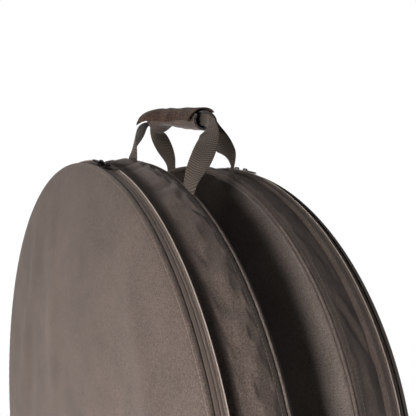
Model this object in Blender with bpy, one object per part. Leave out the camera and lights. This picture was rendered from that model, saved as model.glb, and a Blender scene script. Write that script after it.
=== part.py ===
"""Pair of padded bicycle wheel bags, each with its own webbing handle, held together by one handle wrap.

+Z is up and the axes of both discs lie along X. The left bag is on the -X side.
The origin is on the floor, midway between the two bags. Lengths are in metres.
"""
import math

import bmesh
import bpy
from mathutils import Vector

mm = 0.001

# Layout of the pair
disc_radius = 375 * mm          # outer radius of a gusset, measured at its seams
bag_gap = 118 * mm              # between the two inner seams, facing each other
right_set_back = 39 * mm        # the right bag stands this much further back
left_roll = math.radians(-15.9)   # how far each bag has rolled forward on the floor
right_roll = math.radians(-6.8)
foot_sag = 8 * mm               # height lost where the gusset is pressed flat on the floor
foot_lift = 0.6 * mm            # trim beside the foot stays this much above the floor
seat_gap = 0.3 * mm             # left between two pieces that touch

# Gusset and its padding
gusset_width = 54 * mm          # from the inner piping to the zip's fold
gusset_thickness = 2.2 * mm
gusset_swell = 4 * mm           # how far the band bulges between its seams
swell_shares = (0.22, 0.55)     # where across the band the bulge is at its height
hem_width = 9.5 * mm            # doubled strip that ends in the fold beside the zip
hem_step = 0.9 * mm             # how far it stands above the band
hem_slope_share = 0.1           # share of its width taken by its stitched edge
fold_width = 3 * mm             # rounded fold that stands beside the zip
fold_height = 2 * mm
fold_top_share = 0.33           # where across its width the fold is at its height
gusset_pad_thickness = 4 * mm
gusset_pad_inset = 4 * mm       # the padding stops this much short of the fold

# Piping round the inner face: two cords with the seam between them
piping_cord_width = 4.2 * mm
piping_cord_height = 8 * mm
piping_groove_width = 2.6 * mm
piping_groove_depth = 5.2 * mm
piping_root_depth = 2.4 * mm    # how far the piping reaches inside the gusset radius
cord_shoulder_share = 0.7       # height of a cord's shoulder
cord_crest_share = 0.6          # where across a cord its crest is

# Panels
cover_thickness = 2.2 * mm
edge_roll = 12 * mm             # rise of the rounded edge of the outer panel
outer_dome = 6 * mm             # further rise of the outer panel towards its centre
inner_edge_roll = 6 * mm        # the same for the inner panel, towards the other bag
inner_dome = 8 * mm
pad_thickness = 6 * mm
pad_margin = 11 * mm            # from the disc's radius to the padding's edge
hub_guard_radius = 58 * mm
hub_guard_thickness = 2.5 * mm
# Where the facets of the panels have their rings, as shares of the outline
edge_ring_share = 0.98
outer_ring_shares = (0.87, 0.68, 0.35)
inner_ring_share = 0.65
guard_bevel_share = 0.9

# Zip
tape_thickness = 1.3 * mm
tape_sink = 0.8 * mm            # tape lies this much inside the gusset radius
fixed_tape_width = 3.1 * mm
lid_tape_width = 5.2 * mm
zip_slot = 1.6 * mm             # between the two rows, where the slider's post runs
coil_width = 2.3 * mm
coil_height = 3 * mm
zip_half_angle = math.radians(108)
end_tab_angle = math.radians(4.2)
hinge_clearance = 0.4 * mm      # half of the slit between the lid and the lower panel

# Slider and pull
slider_length = 14 * mm
slider_width = 8 * mm
slider_plate = 2.2 * mm
slider_top_gap = 0.5 * mm
slider_under_gap = 1.4 * mm
slider_post_width = 0.8 * mm
slider_post_length = 5 * mm
bridge_length = 9 * mm
bridge_width = 2.4 * mm
bridge_bar = 1.5 * mm
bridge_rise = 3.2 * mm          # clear height under the bridge
slider_taper = 1.3 * mm         # how much narrower its ends are on each side
slider_spacing = 22 * mm        # between the two sliders' middles when they meet
# Where on each bag's rim its two sliders meet, from the bag's own top
zip_meets = {"left": math.radians(2.9), "right": math.radians(-2.3)}
pull_bar = 1.7 * mm
pull_width = 7.6 * mm
pull_arm_width = 1.9 * mm
pull_arm_length = 6.4 * mm
pull_length = 27 * mm
pull_tip_width = 5.2 * mm
pull_nose_width = 3.1 * mm
pull_nose_length = 4 * mm
pull_lift = 0.5 * mm            # free height under the pull where it lies on the slider

# Webbing handles
webbing_width = 27 * mm
webbing_thickness = 1.6 * mm
gathered_width = 17 * mm        # inside the wrap each webbing is folded up to this
gathered_thickness = 2.8 * mm
webbing_spacing = 1.6 * mm      # between the two webbings, which stand side by side inside the wrap
gather_share = 0.55             # share of a leg's run over which it is drawn in
leg_root = 5 * mm               # straight run out of the seam
handle_half_angles = {"left": math.radians(12.1), "right": math.radians(13.8)}
handle_lead = 9 * mm            # straight run beyond each end of the wrap
# Of each leg: rise at the foot, then reach, spread and drop beyond the wrap's end, in webbing widths
leg_shares = {
    ("left", "rear"): (1.4, 0.8, 0.2, 0.9),
    ("left", "front"): (0.6, 1.3, 0.1, 0.2),
    ("right", "rear"): (0.8, 1.3, 0.3, 0.2),
    ("right", "front"): (0.5, 0.5, -0.3, 0.0),
}
# How far the flat side of a leg turns forward halfway between the foot and the wrap
leg_turns = {
    ("left", "rear"): math.radians(-20),
    ("left", "front"): math.radians(50),
    ("right", "rear"): math.radians(50),
    ("right", "front"): math.radians(35),
}
# The same for a leg that is twisted close to its foot, and how far up the twist reaches
foot_turns = {("right", "front"): math.radians(-35)}
foot_turn_share = 0.45

# Handle wrap
wrap_length = 142 * mm
wrap_half_width = 16 * mm
wrap_half_height = 12.5 * mm
wrap_wall = 1.8 * mm
wrap_lining_thickness = 0.8 * mm
wrap_front = -68 * mm           # where the middle of the wrap is along Y
wrap_height = 436 * mm          # the wrap's middle above the centres of the discs
wrap_tilt = math.radians(7.5)   # its front end is the lower one
wrap_slit = (math.radians(112), math.radians(140))
wrap_hem = (math.radians(52), math.radians(60))
wrap_flap_angles = (math.radians(61), math.radians(184))
wrap_strip_angles = (math.radians(146), math.radians(178))
strip_thickness = 0.8 * mm
strip_margin = 6 * mm
flap_thickness = 2.0 * mm
flap_overhang = 14 * mm         # the flap reaches past the rear end of the sleeve

# Facets
ring_steps = 42
zip_steps = 34
chord_steps = 6
leg_steps = 24
wrap_steps = 22
strip_steps = 6
flap_steps = 14
hem_steps = 3
smooth_angle = math.radians(35)  # sharper edges stay sharp
merge_distance = 0.01 * mm

# Places worked out from the sizes above
piping_width = 2 * piping_cord_width + piping_groove_width
gusset_start = piping_width / 2 + seat_gap
fold_edge = gusset_start + gusset_width
fixed_tape_start = fold_edge + seat_gap
zip_start = fixed_tape_start + fixed_tape_width
zip_middle = zip_start + zip_slot / 2
lid_tape_start = zip_start + zip_slot
lid_tape_end = lid_tape_start + lid_tape_width
outer_seam = lid_tape_end + seat_gap
outer_edge = outer_seam + cover_thickness
disc_height = disc_radius - foot_sag
hinge_drop = disc_radius * math.cos(zip_half_angle)
tape_radius = disc_radius - tape_sink
pad_radius = disc_radius - pad_margin


def material(name, colour, roughness, metallic=0.0):
    """Plain Principled material, made once."""
    found = bpy.data.materials.get(name)
    if found:
        return found
    made = bpy.data.materials.new(name)
    made.use_nodes = True
    shader = made.node_tree.nodes["Principled BSDF"]
    shader.inputs["Base Color"].default_value = (*colour, 1.0)
    shader.inputs["Roughness"].default_value = roughness
    shader.inputs["Metallic"].default_value = metallic
    made.diffuse_color = (*colour, 1.0)
    return made


def finish(name, bm, stuff, origin=(0.0, 0.0, 0.0)):
    """Turn a bmesh in world places into a named object whose origin is at the given place."""
    bmesh.ops.remove_doubles(bm, verts=bm.verts, dist=merge_distance)
    bmesh.ops.recalc_face_normals(bm, faces=bm.faces)
    bmesh.ops.translate(bm, verts=bm.verts, vec=-Vector(origin))
    mesh = bpy.data.meshes.new(name)
    bm.to_mesh(mesh)
    bm.free()
    mesh.shade_smooth()
    mesh.set_sharp_from_angle(angle=smooth_angle)
    mesh.materials.append(stuff)
    body = bpy.data.objects.new(name, mesh)
    body.location = origin
    bpy.context.collection.objects.link(body)
    return body


def loft(rows, closed):
    """Solid between equal rows of points: a ring if closed, and otherwise capped at both ends."""
    bm = bmesh.new()
    grid = [[bm.verts.new(point) for point in row] for row in rows]
    pairs = list(zip(grid, grid[1:]))
    if closed:
        pairs.append((grid[-1], grid[0]))
    for near, far in pairs:
        for index in range(len(near)):
            after = (index + 1) % len(near)
            bm.faces.new((near[index], near[after], far[after], far[index]))
    if not closed:
        bm.faces.new(list(reversed(grid[0])))
        bm.faces.new(grid[-1])
    return bm


class Bag:
    """Where one bag stands, and how a place on it becomes a point of the model."""

    def __init__(self, name, side, roll):
        self.name = name
        self.side = side
        self.roll = roll
        self.centre = Vector((0.0, side * right_set_back / 2, disc_height))

    def point(self, along, radius, angle, depth=None):
        """along: from the inner seam outwards; angle: from the bag's own top, rearwards positive."""
        turned = angle + self.roll
        x = self.side * (bag_gap / 2 + along)
        y = self.centre.y + radius * math.sin(turned)
        z = self.centre.z + radius * math.cos(turned)
        if depth is not None:
            z = max(z, depth)
        return Vector((x, y, z))

    def at(self, along, across, up, depth=None):
        """The same, from a place across and up in the bag's own plane."""
        return self.point(along, math.hypot(across, up), math.atan2(across, up), depth)

    def tangent(self, angle):
        """Direction along the rim, rearwards."""
        turned = angle + self.roll
        return Vector((0.0, math.cos(turned), -math.sin(turned)))


def ring_angles(bag):
    """Angles of a full ring, with one edge of the mesh at the floor."""
    return [math.pi - bag.roll + 2 * math.pi * step / ring_steps for step in range(ring_steps)]


def arc_angles(start, end, steps):
    return [start + (end - start) * step / steps for step in range(steps + 1)]


def layer_depth(radius, lift):
    """Height over the floor at which a layer of this radius is pressed flat."""
    return lift + max(disc_radius - radius, 0.0)


def ring(bag, outline, angles, closed, lift=0.0):
    """An outline of (along, radius) points carried round the bag's axis."""
    rows = [[bag.point(along, radius, angle, layer_depth(radius, lift)) for along, radius in outline]
            for angle in angles]
    return loft(rows, closed)


def panel(bag, outline, middle, front_shares, back_shares, front, back, depth=0.0):
    """Crowned panel with an outline of (across, up) points.

    Each face is a set of shrunken outlines round the middle, raised by the height that
    front or back gives for a distance from the bag's axis.
    """
    bm = bmesh.new()
    faces = []
    for shares, height in ((front_shares, front), (back_shares, back)):
        loops = []
        for share in shares:
            places = [(middle[0] + share * (across - middle[0]), middle[1] + share * (up - middle[1]))
                      for across, up in outline]
            loops.append([bm.verts.new(bag.at(height(math.hypot(across, up)), across, up, depth))
                          for across, up in places])
        tip = bm.verts.new(bag.at(height(math.hypot(*middle)), *middle, depth))
        faces.append((loops, tip))
    count = len(outline)
    for loops, tip in faces:
        for wide, narrow in zip(loops, loops[1:]):
            for index in range(count):
                after = (index + 1) % count
                bm.faces.new((wide[index], wide[after], narrow[after], narrow[index]))
        for index in range(count):
            bm.faces.new((loops[-1][index], loops[-1][(index + 1) % count], tip))
    outer, inner = faces[0][0][0], faces[1][0][0]
    for index in range(count):
        after = (index + 1) % count
        bm.faces.new((outer[index], inner[index], inner[after], outer[after]))
    return bm


def outer_crown(radius):
    """Outer face of the outer panel: a rounded edge, then a low dome."""
    share = min(radius / (disc_radius - seat_gap), 1.0)
    return outer_edge + edge_roll * math.sqrt(1 - share ** 6) + outer_dome * (1 - share ** 2)


def inner_crown(radius):
    """Face of the inner panel towards the other bag."""
    share = min(radius / (disc_radius - piping_root_depth - seat_gap), 1.0)
    return -cover_thickness / 2 - inner_edge_roll * math.sqrt(1 - share ** 6) - inner_dome * (1 - share ** 2)


def disc_outline(bag, radius):
    return [(radius * math.sin(angle), radius * math.cos(angle)) for angle in ring_angles(bag)]


def lower_angles(bag, start):
    """Angles from one end of the zip, through the floor's edge of the mesh, to the other end."""
    full = 2 * math.pi
    clear = full / ring_steps / 3
    angles = sorted(angle % full for angle in ring_angles(bag))
    return [start, *(angle for angle in angles if start + clear < angle < full - start - clear), full - start]


def lid_outline(radius):
    """Part of a disc above the hinge line."""
    level = hinge_drop + hinge_clearance
    limit = math.acos(level / radius)
    rim = [(radius * math.sin(angle), radius * math.cos(angle))
           for angle in arc_angles(-limit, limit, zip_steps)]
    half = radius * math.sin(limit)
    chord = [(half - 2 * half * step / chord_steps, level) for step in range(1, chord_steps)]
    return rim + chord


def lower_outline(bag, radius):
    """Part of a disc below the hinge line, with a corner of the mesh at the floor."""
    level = hinge_drop - hinge_clearance
    limit = math.acos(level / radius)
    rim = lower_angles(bag, limit)
    half = radius * math.sin(limit)
    chord = [(-half + 2 * half * step / chord_steps, level) for step in range(1, chord_steps)]
    return [(radius * math.sin(angle), radius * math.cos(angle)) for angle in rim] + chord


def make_shell(bag, stuff):
    """Everything of the bag that stays with it: panels, gusset, piping, padding."""
    name = bag.name
    swell = [(gusset_start, disc_radius)]
    swell += [(gusset_start + gusset_width * share, disc_radius + gusset_swell) for share in swell_shares]
    hem_start = fold_edge - hem_width
    fold_start = fold_edge - fold_width
    hem = [(hem_start, disc_radius), (hem_start + hem_width * hem_slope_share, disc_radius + hem_step),
           (fold_start, disc_radius + hem_step),
           (fold_start + fold_width * fold_top_share, disc_radius + fold_height),
           (fold_edge, disc_radius + fold_height)]
    inside = disc_radius - gusset_thickness
    outline = swell + hem + [(fold_edge, inside), (gusset_start, inside)]
    finish(f"{name}_gusset", ring(bag, outline, ring_angles(bag), True), stuff["shell"])

    top = inside - seat_gap
    bottom = top - gusset_pad_thickness
    pad_end = fold_edge - gusset_pad_inset
    pad_start = gusset_start + pad_thickness
    outline = [(pad_start, top), (pad_end, top), (pad_end, bottom), (pad_start, bottom)]
    finish(f"{name}_gusset_padding", ring(bag, outline, ring_angles(bag), True), stuff["padding"])

    finish(f"{name}_inner_piping", ring(bag, piping_outline(), ring_angles(bag), True, foot_lift),
           stuff["piping"])

    radius = disc_radius - piping_root_depth - seat_gap
    outline, middle = disc_outline(bag, radius), (0.0, 0.0)
    pad_shares = (1 - pad_margin / radius, inner_ring_share, hub_guard_radius / radius)
    under = lambda distance: inner_crown(distance) + cover_thickness
    finish(f"{name}_inner_panel",
           panel(bag, outline, middle, (1.0, edge_ring_share, *pad_shares), (1.0, *pad_shares),
                 inner_crown, under, layer_depth(radius, foot_lift)), stuff["shell"])
    pad_face = lambda distance: under(distance) + seat_gap
    pad_back = lambda distance: pad_face(distance) + pad_thickness
    finish(f"{name}_inner_padding",
           panel(bag, outline, middle, pad_shares, pad_shares, pad_face, pad_back), stuff["padding"])
    guard_face = lambda distance: pad_back(distance) + seat_gap
    finish(f"{name}_inner_hub_guard", hub_guard(bag, guard_face, hub_guard_thickness), stuff["guard"])

    radius = disc_radius - seat_gap
    outline, middle = lower_outline(bag, radius), (0.0, (hinge_drop - disc_radius) / 2)
    pad_shares = (1 - pad_margin / (disc_radius + middle[1]), *outer_ring_shares)
    outer_back = lambda distance: outer_crown(distance) - cover_thickness
    finish(f"{name}_lower_panel",
           panel(bag, outline, middle, (1.0, edge_ring_share, *pad_shares), (1.0, *pad_shares),
                 outer_crown, outer_back, foot_lift), stuff["shell"])
    face = lambda distance: outer_back(distance) - seat_gap
    rear = lambda distance: face(distance) - pad_thickness
    finish(f"{name}_lower_padding",
           panel(bag, outline, middle, pad_shares, pad_shares, face, rear), stuff["padding"])

    start = zip_half_angle + end_tab_angle + math.asin(seat_gap / disc_radius)
    outline = [(fixed_tape_start, disc_radius), (lid_tape_end, disc_radius),
               (lid_tape_end, inside), (fixed_tape_start, inside)]
    finish(f"{name}_seam_strip", ring(bag, outline, lower_angles(bag, start), False, foot_lift),
           stuff["shell"])


def piping_outline():
    """Two rounded cords side by side, with the seam's groove between them."""
    root = disc_radius - piping_root_depth
    crest = disc_radius + piping_cord_height
    shoulder = disc_radius + piping_cord_height * cord_shoulder_share
    lean = piping_cord_width * cord_crest_share
    half = piping_groove_width / 2
    cord = piping_cord_width
    groove = crest - piping_groove_depth
    return [(-half - cord, root), (-half - cord, shoulder), (-half - lean, crest), (-half, shoulder),
            (-half, groove), (half, groove), (half, shoulder), (half + lean, crest),
            (half + cord, shoulder), (half + cord, root)]


def hub_guard(bag, face, thickness):
    """Round guard where the wheel's hub presses, following the padding under it."""
    far = lambda distance: face(distance) + thickness
    outline = disc_outline(bag, hub_guard_radius)
    return panel(bag, outline, (0.0, 0.0), (1.0,), (1.0, guard_bevel_share), face, far)


def make_lid(bag, stuff):
    """The outer panel above the hinge line, with its half of the zip. It turns on the hinge line."""
    name = bag.name
    hinge = bag.at(outer_crown(abs(hinge_drop)), 0.0, hinge_drop)
    outline, middle = lid_outline(disc_radius - seat_gap), (0.0, (hinge_drop + disc_radius) / 2)
    pad_shares = (1 - pad_margin / (disc_radius - middle[1]), *outer_ring_shares)
    back = lambda distance: outer_crown(distance) - cover_thickness
    finish(f"{name}_lid_panel",
           panel(bag, outline, middle, (1.0, edge_ring_share, *pad_shares), (1.0, *pad_shares),
                 outer_crown, back), stuff["shell"], hinge)
    face = lambda distance: back(distance) - seat_gap
    rear = lambda distance: face(distance) - pad_thickness
    finish(f"{name}_lid_padding", panel(bag, outline, middle, pad_shares, pad_shares, face, rear),
           stuff["padding"], hinge)
    guard_face = lambda distance: rear(distance) - seat_gap
    finish(f"{name}_lid_hub_guard", hub_guard(bag, guard_face, -hub_guard_thickness), stuff["guard"], hinge)

    low = tape_radius - tape_thickness
    outline = [(lid_tape_start, tape_radius), (lid_tape_end, tape_radius), (lid_tape_end, low),
               (lid_tape_start, low)]
    angles = arc_angles(-zip_half_angle, zip_half_angle, zip_steps)
    finish(f"{name}_zip_tape_lid", ring(bag, outline, angles, False), stuff["tape"], hinge)
    finish(f"{name}_zip_coil_lid",
           ring(bag, coil_outline(lid_tape_start, lid_tape_start + coil_width), angles, False),
           stuff["coil"], hinge)


def coil_outline(start, end):
    """One row of the zip, under its tape."""
    top = tape_radius - tape_thickness - seat_gap
    return [(start, top), (end, top), (end, top - coil_height), (start, top - coil_height)]


def make_fixed_zip(bag, stuff):
    """The gusset's half of the zip and the tabs over its two ends."""
    name = bag.name
    low = tape_radius - tape_thickness
    outline = [(fixed_tape_start, tape_radius), (zip_start, tape_radius), (zip_start, low),
               (fixed_tape_start, low)]
    angles = arc_angles(-zip_half_angle, zip_half_angle, zip_steps)
    finish(f"{name}_zip_tape_fixed", ring(bag, outline, angles, False), stuff["tape"])
    finish(f"{name}_zip_coil_fixed",
           ring(bag, coil_outline(zip_start - coil_width, zip_start), angles, False), stuff["coil"])
    start = zip_half_angle + math.asin(seat_gap / tape_radius)
    top = disc_radius
    outline = [(fixed_tape_start, top), (lid_tape_end, top), (lid_tape_end, low), (fixed_tape_start, low)]
    for end, sign in (("rear", 1), ("front", -1)):
        angles = arc_angles(sign * start, sign * (zip_half_angle + end_tab_angle), 2)
        finish(f"{name}_zip_end_tab_{end}", ring(bag, outline, angles, False), stuff["webbing"])


def slab(frame, low, high):
    """Closed box between two corners, in a frame of (origin, axis, axis, axis)."""
    origin, *axes = frame
    bm = bmesh.new()
    bmesh.ops.create_cube(bm, size=1.0)
    for vert in bm.verts:
        share = [coordinate + 0.5 for coordinate in vert.co]
        place = [a + (b - a) * s for a, b, s in zip(low, high, share)]
        vert.co = origin + sum((axis * value for axis, value in zip(axes, place)), Vector())
    return bm


def extrude_outline(frame, outline, low, high):
    """Outline of (second axis, third axis) points, drawn out along the first axis."""
    origin, first, second, third = frame
    rows = [[origin + first * level + second * a + third * b for a, b in outline] for level in (low, high)]
    return loft(rows, False)


def unite(name, parts, stuff, origin):
    """Join overlapping shapes into one closed body."""
    body = finish(name, parts[0], stuff, origin)
    for index, part in enumerate(parts[1:]):
        tool = finish(f"{name}_tool_{index}", part, stuff, origin)
        tool.hide_render = True
        tool.display_type = "WIRE"
        join = body.modifiers.new("join", "BOOLEAN")
        join.operation = "UNION"
        join.solver = "EXACT"
        join.object = tool
    return body


def slider_frame(bag, sign):
    """Frame on the zip at a slider's resting place: X outwards, along the rim, away from the axis."""
    angle = zip_meets[bag.name] + sign * slider_spacing / 2 / disc_radius
    along = Vector((bag.side, 0.0, 0.0))
    rim = bag.tangent(angle) * sign
    out = (bag.point(0.0, disc_radius, angle) - bag.point(0.0, 0.0, angle)).normalized()
    return bag.point(zip_middle, 0.0, 0.0), along, rim, out


def make_slider(bag, end, sign, stuff):
    """Zip slider: two plates on a post, with a bridge for the pull. It rides round the zip."""
    origin, along, rim, out = slider_frame(bag, sign)
    frame = (origin, along, rim, out)
    top = tape_radius + slider_top_gap
    under = tape_radius - tape_thickness - seat_gap - coil_height - slider_under_gap
    half_width = slider_width / 2
    half_length = slider_length / 2
    narrow = half_width - slider_taper
    nose = [(-half_length, narrow), (-half_length / 2, half_width), (half_length, narrow)]
    rows = [[origin + out * level + rim * a + along * b
             for a, b in nose + [(a, -b) for a, b in reversed(nose)]]
            for level in (top, top + slider_plate)]
    plate = loft(rows, False)
    rows = [[point - out * (top - under + slider_plate) for point in row] for row in rows]
    keel = loft(rows, False)
    post_half = slider_post_width / 2
    post = slab(frame, (-post_half, -half_length + seat_gap, under - slider_plate / 2),
                (post_half, -half_length + seat_gap + slider_post_length, top + slider_plate / 2))
    bridge = extrude_outline(frame, bridge_outline(top + slider_plate), -bridge_width / 2, bridge_width / 2)
    body = unite(f"{bag.name}_slider_{end}", [plate, keel, post, bridge], stuff["metal"],
                 bag.point(zip_middle, 0.0, 0.0))
    return body


def bridge_outline(base):
    """Side view of the bridge: an arch with a clear window under it."""
    half = bridge_length / 2
    sunk = slider_plate / 2
    rise = bridge_rise + bridge_bar
    chamfer = bridge_bar
    outside = [(-half, base - sunk), (-half, base + rise - chamfer), (-half + chamfer, base + rise),
               (half - chamfer, base + rise), (half, base + rise - chamfer), (half, base - sunk)]
    leg = half - bridge_bar
    inside = [(leg, base - sunk), (leg, base + bridge_rise), (-leg, base + bridge_rise), (-leg, base - sunk)]
    return outside + inside


def make_pull(bag, end, sign, stuff):
    """Pull of one slider: a cross bar under the bridge, two arms and a tapered tab."""
    origin, along, rim, out = slider_frame(bag, sign)
    level = tape_radius + slider_top_gap + slider_plate + pull_lift + pull_bar / 2
    pivot = origin + out * level
    frame = (pivot, along, rim, out)
    half = pull_bar / 2
    half_width = pull_width / 2
    arm = half_width - pull_arm_width
    edge = [(-half, half_width), (pull_arm_length, half_width),
            (pull_length - pull_nose_length, pull_tip_width / 2), (pull_length, pull_nose_width / 2)]
    outside = edge + [(a, -b) for a, b in reversed(edge)]
    rows = [[pivot + out * height + rim * a + along * b for a, b in outside] for height in (-half, half)]
    tab = loft(rows, False)
    window = slab(frame, (-arm, half, -pull_bar), (arm, pull_arm_length, pull_bar))
    name = f"{bag.name}_pull_{end}"
    body = finish(name, tab, stuff["metal"], pivot)
    tool = finish(f"{name}_window", window, stuff["metal"], pivot)
    tool.hide_render = True
    tool.display_type = "WIRE"
    cut = body.modifiers.new("window", "BOOLEAN")
    cut.operation = "DIFFERENCE"
    cut.solver = "EXACT"
    cut.object = tool
    return body


def bezier(corners, share):
    """Cubic curve through its first and last corner."""
    a, b, c, d = corners
    rest = 1 - share
    return a * rest ** 3 + b * 3 * share * rest ** 2 + c * 3 * share ** 2 * rest + d * share ** 3


def hump(share):
    """Smooth rise from 0 to 1 halfway and back, and nothing beyond."""
    return (4 * share * (1 - share)) ** 2 if share < 1 else 0.0


def ease(share):
    """Smooth step from 0 to 1."""
    return share * share * (3 - 2 * share)


def wrap_axes():
    """The wrap's middle and its own axes: across, along and upright."""
    along = Vector((0.0, math.cos(wrap_tilt), math.sin(wrap_tilt)))
    upright = Vector((0.0, -math.sin(wrap_tilt), math.cos(wrap_tilt)))
    return Vector((0.0, wrap_front, disc_height + wrap_height)), Vector((1.0, 0.0, 0.0)), along, upright


def webbing_seat(bag):
    """Place of a webbing inside the wrap: beside the other one, its upper corner against the lining."""
    middle, across, along, upright = wrap_axes()
    inset = wrap_wall + seat_gap + wrap_lining_thickness
    wide, tall = wrap_half_width - inset, wrap_half_height - inset
    side = (webbing_spacing + gathered_thickness) / 2
    corner = (side + gathered_thickness / 2) / wide
    level = tall * math.sqrt(1 - corner ** 2) - seat_gap - gathered_width / 2
    return middle + across * bag.side * side + upright * level


def handle_leg(bag, end, sign):
    """Places and width directions of one leg, from its foot in the seam to the wrap's end."""
    middle, across, along, upright = wrap_axes()
    seat = disc_radius + piping_cord_height - piping_groove_depth + seat_gap
    angle = sign * handle_half_angles[bag.name]
    foot = bag.point(0.0, seat, angle)
    out = (foot - bag.point(0.0, 0.0, angle)).normalized()
    gate = webbing_seat(bag) + along * sign * (wrap_length / 2 + handle_lead)
    rise, reach, spread, drop = (share * webbing_width for share in leg_shares[bag.name, end])
    swing = gate + along * sign * reach + across * bag.side * spread - upright * drop
    root = foot + out * leg_root
    corners = (root, root + out * rise, swing, gate)
    rows = [(foot, -across, webbing_width, webbing_thickness)]
    for step in range(leg_steps + 1):
        share = step / leg_steps
        turn = leg_turns[bag.name, end] * hump(share)
        turn += foot_turns.get((bag.name, end), 0.0) * hump(share / foot_turn_share)
        face = -across * math.cos(turn) - Vector((0.0, math.sin(turn), 0.0))
        eased = ease(min((1 - share) / gather_share, 1.0))
        width = gathered_width + (webbing_width - gathered_width) * eased
        thickness = gathered_thickness + (webbing_thickness - gathered_thickness) * eased
        rows.append((bezier(corners, share), face, width, thickness))
    return rows


def make_handle(bag, stuff):
    """Webbing handle: from the rear foot in the inner seam, through the wrap, to the front foot."""
    stations = handle_leg(bag, "rear", 1) + list(reversed(handle_leg(bag, "front", -1)))
    places = [station[0] for station in stations]
    last = len(places) - 1
    rows = []
    for index, (place, face, width, thickness) in enumerate(stations):
        run = (places[min(index + 1, last)] - places[max(index - 1, 0)]).normalized()
        wide = face.cross(run).normalized()
        w, t = wide * width / 2, run.cross(wide) * thickness / 2
        rows.append([place + w + t, place - w + t, place - w - t, place + w - t])
    finish(f"{bag.name}_handle_webbing", loft(rows, False), stuff["webbing"])


def wrap_arc(inside, outside, start, end, low, high, steps=wrap_steps):
    """Curved sheet round the wrap's axis between two distances from the sleeve's face."""
    middle, across, along, upright = wrap_axes()
    wide, tall = wrap_half_width, wrap_half_height
    angles = arc_angles(start, end, steps)
    rim = [((wide + outside) * math.cos(a), (tall + outside) * math.sin(a)) for a in angles]
    rim += [((wide + inside) * math.cos(a), (tall + inside) * math.sin(a)) for a in reversed(angles)]
    rows = [[middle + along * level + across * u + upright * v for u, v in rim] for level in (low, high)]
    return loft(rows, False)


def make_wrap(stuff):
    """Padded sleeve that gathers both handles, its lining, and the flap that closes it."""
    half = wrap_length / 2
    slit_start, slit_end = wrap_slit
    full = slit_start + 2 * math.pi
    finish("wrap_sleeve", wrap_arc(-wrap_wall, 0.0, slit_end, full, -half, half), stuff["wrap"])
    skin = -wrap_wall - seat_gap
    finish("wrap_lining", wrap_arc(skin - wrap_lining_thickness, skin, slit_end, full, -half, half),
           stuff["loop"])
    loop_top = seat_gap + strip_thickness
    start, end = wrap_strip_angles
    finish("wrap_loop_strip",
           wrap_arc(seat_gap, loop_top, start, end, -half + strip_margin, half - strip_margin, strip_steps),
           stuff["loop"])
    hook_top = loop_top + seat_gap + strip_thickness
    start_flap, end_flap = wrap_flap_angles
    hinge = wrap_hinge()
    finish("wrap_hook_strip",
           wrap_arc(loop_top + seat_gap, hook_top, start, end,
                    -half + strip_margin, half - strip_margin, strip_steps),
           stuff["hook"], hinge)
    flap_low = hook_top + seat_gap
    finish("wrap_flap",
           wrap_arc(flap_low, flap_low + flap_thickness, start_flap, end_flap,
                    -half, half + flap_overhang, flap_steps), stuff["wrap"], hinge)
    hem_start, hem_end = wrap_hem
    hem_top = flap_low + flap_thickness - seat_gap
    finish("wrap_hem",
           wrap_arc(seat_gap, hem_top, hem_start, hem_end, -half, half, hem_steps), stuff["wrap"])


def wrap_hinge():
    """Where the flap turns: at the outer corner of its root."""
    middle, across, along, upright = wrap_axes()
    lift = 3 * seat_gap + 2 * strip_thickness + flap_thickness
    angle = wrap_flap_angles[0]
    return (middle + across * (wrap_half_width + lift) * math.cos(angle)
            + upright * (wrap_half_height + lift) * math.sin(angle))


def main():
    for old in list(bpy.data.objects):
        bpy.data.objects.remove(old, do_unlink=True)
    stuff = {
        "shell": material("shell_fabric", (0.19, 0.155, 0.135), 0.85),
        "piping": material("piping_fabric", (0.26, 0.215, 0.19), 0.8),
        "padding": material("foam_padding", (0.32, 0.31, 0.30), 0.95),
        "guard": material("hub_guard_sheet", (0.05, 0.05, 0.05), 0.6),
        "tape": material("zip_tape", (0.24, 0.20, 0.175), 0.8),
        "coil": material("zip_coil", (0.05, 0.045, 0.04), 0.5),
        "metal": material("slider_metal", (0.20, 0.19, 0.18), 0.35, 0.9),
        "webbing": material("webbing", (0.25, 0.21, 0.185), 0.8),
        "wrap": material("wrap_fabric", (0.23, 0.185, 0.165), 0.85),
        "loop": material("loop_fabric", (0.20, 0.19, 0.19), 0.95),
        "hook": material("hook_tape", (0.06, 0.055, 0.05), 0.9),
    }
    for bag in (Bag("left", -1, left_roll), Bag("right", 1, right_roll)):
        make_shell(bag, stuff)
        make_lid(bag, stuff)
        make_fixed_zip(bag, stuff)
        make_handle(bag, stuff)
        for end, sign in (("rear", 1), ("front", -1)):
            make_slider(bag, end, sign, stuff)
            make_pull(bag, end, sign, stuff)
    make_wrap(stuff)


main()
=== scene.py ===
import math

import bmesh
import bpy
import numpy as np
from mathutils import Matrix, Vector


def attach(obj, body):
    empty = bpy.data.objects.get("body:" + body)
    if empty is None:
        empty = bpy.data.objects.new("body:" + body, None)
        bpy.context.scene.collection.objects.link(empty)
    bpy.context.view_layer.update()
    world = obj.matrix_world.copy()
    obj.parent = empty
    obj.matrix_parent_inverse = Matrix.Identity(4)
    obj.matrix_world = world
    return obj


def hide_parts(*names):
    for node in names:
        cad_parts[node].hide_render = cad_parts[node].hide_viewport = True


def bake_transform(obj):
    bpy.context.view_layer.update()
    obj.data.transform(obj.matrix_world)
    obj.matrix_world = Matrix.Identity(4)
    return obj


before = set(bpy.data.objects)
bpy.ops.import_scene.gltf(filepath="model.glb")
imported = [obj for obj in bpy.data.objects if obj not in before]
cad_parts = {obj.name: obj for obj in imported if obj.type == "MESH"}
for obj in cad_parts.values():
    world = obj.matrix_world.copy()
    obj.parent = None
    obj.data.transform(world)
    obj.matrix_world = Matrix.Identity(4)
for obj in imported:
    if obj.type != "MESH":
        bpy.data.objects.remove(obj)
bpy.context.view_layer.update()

print("frame loaded")

mm = 0.001
fullTurn = 2 * math.pi
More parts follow.
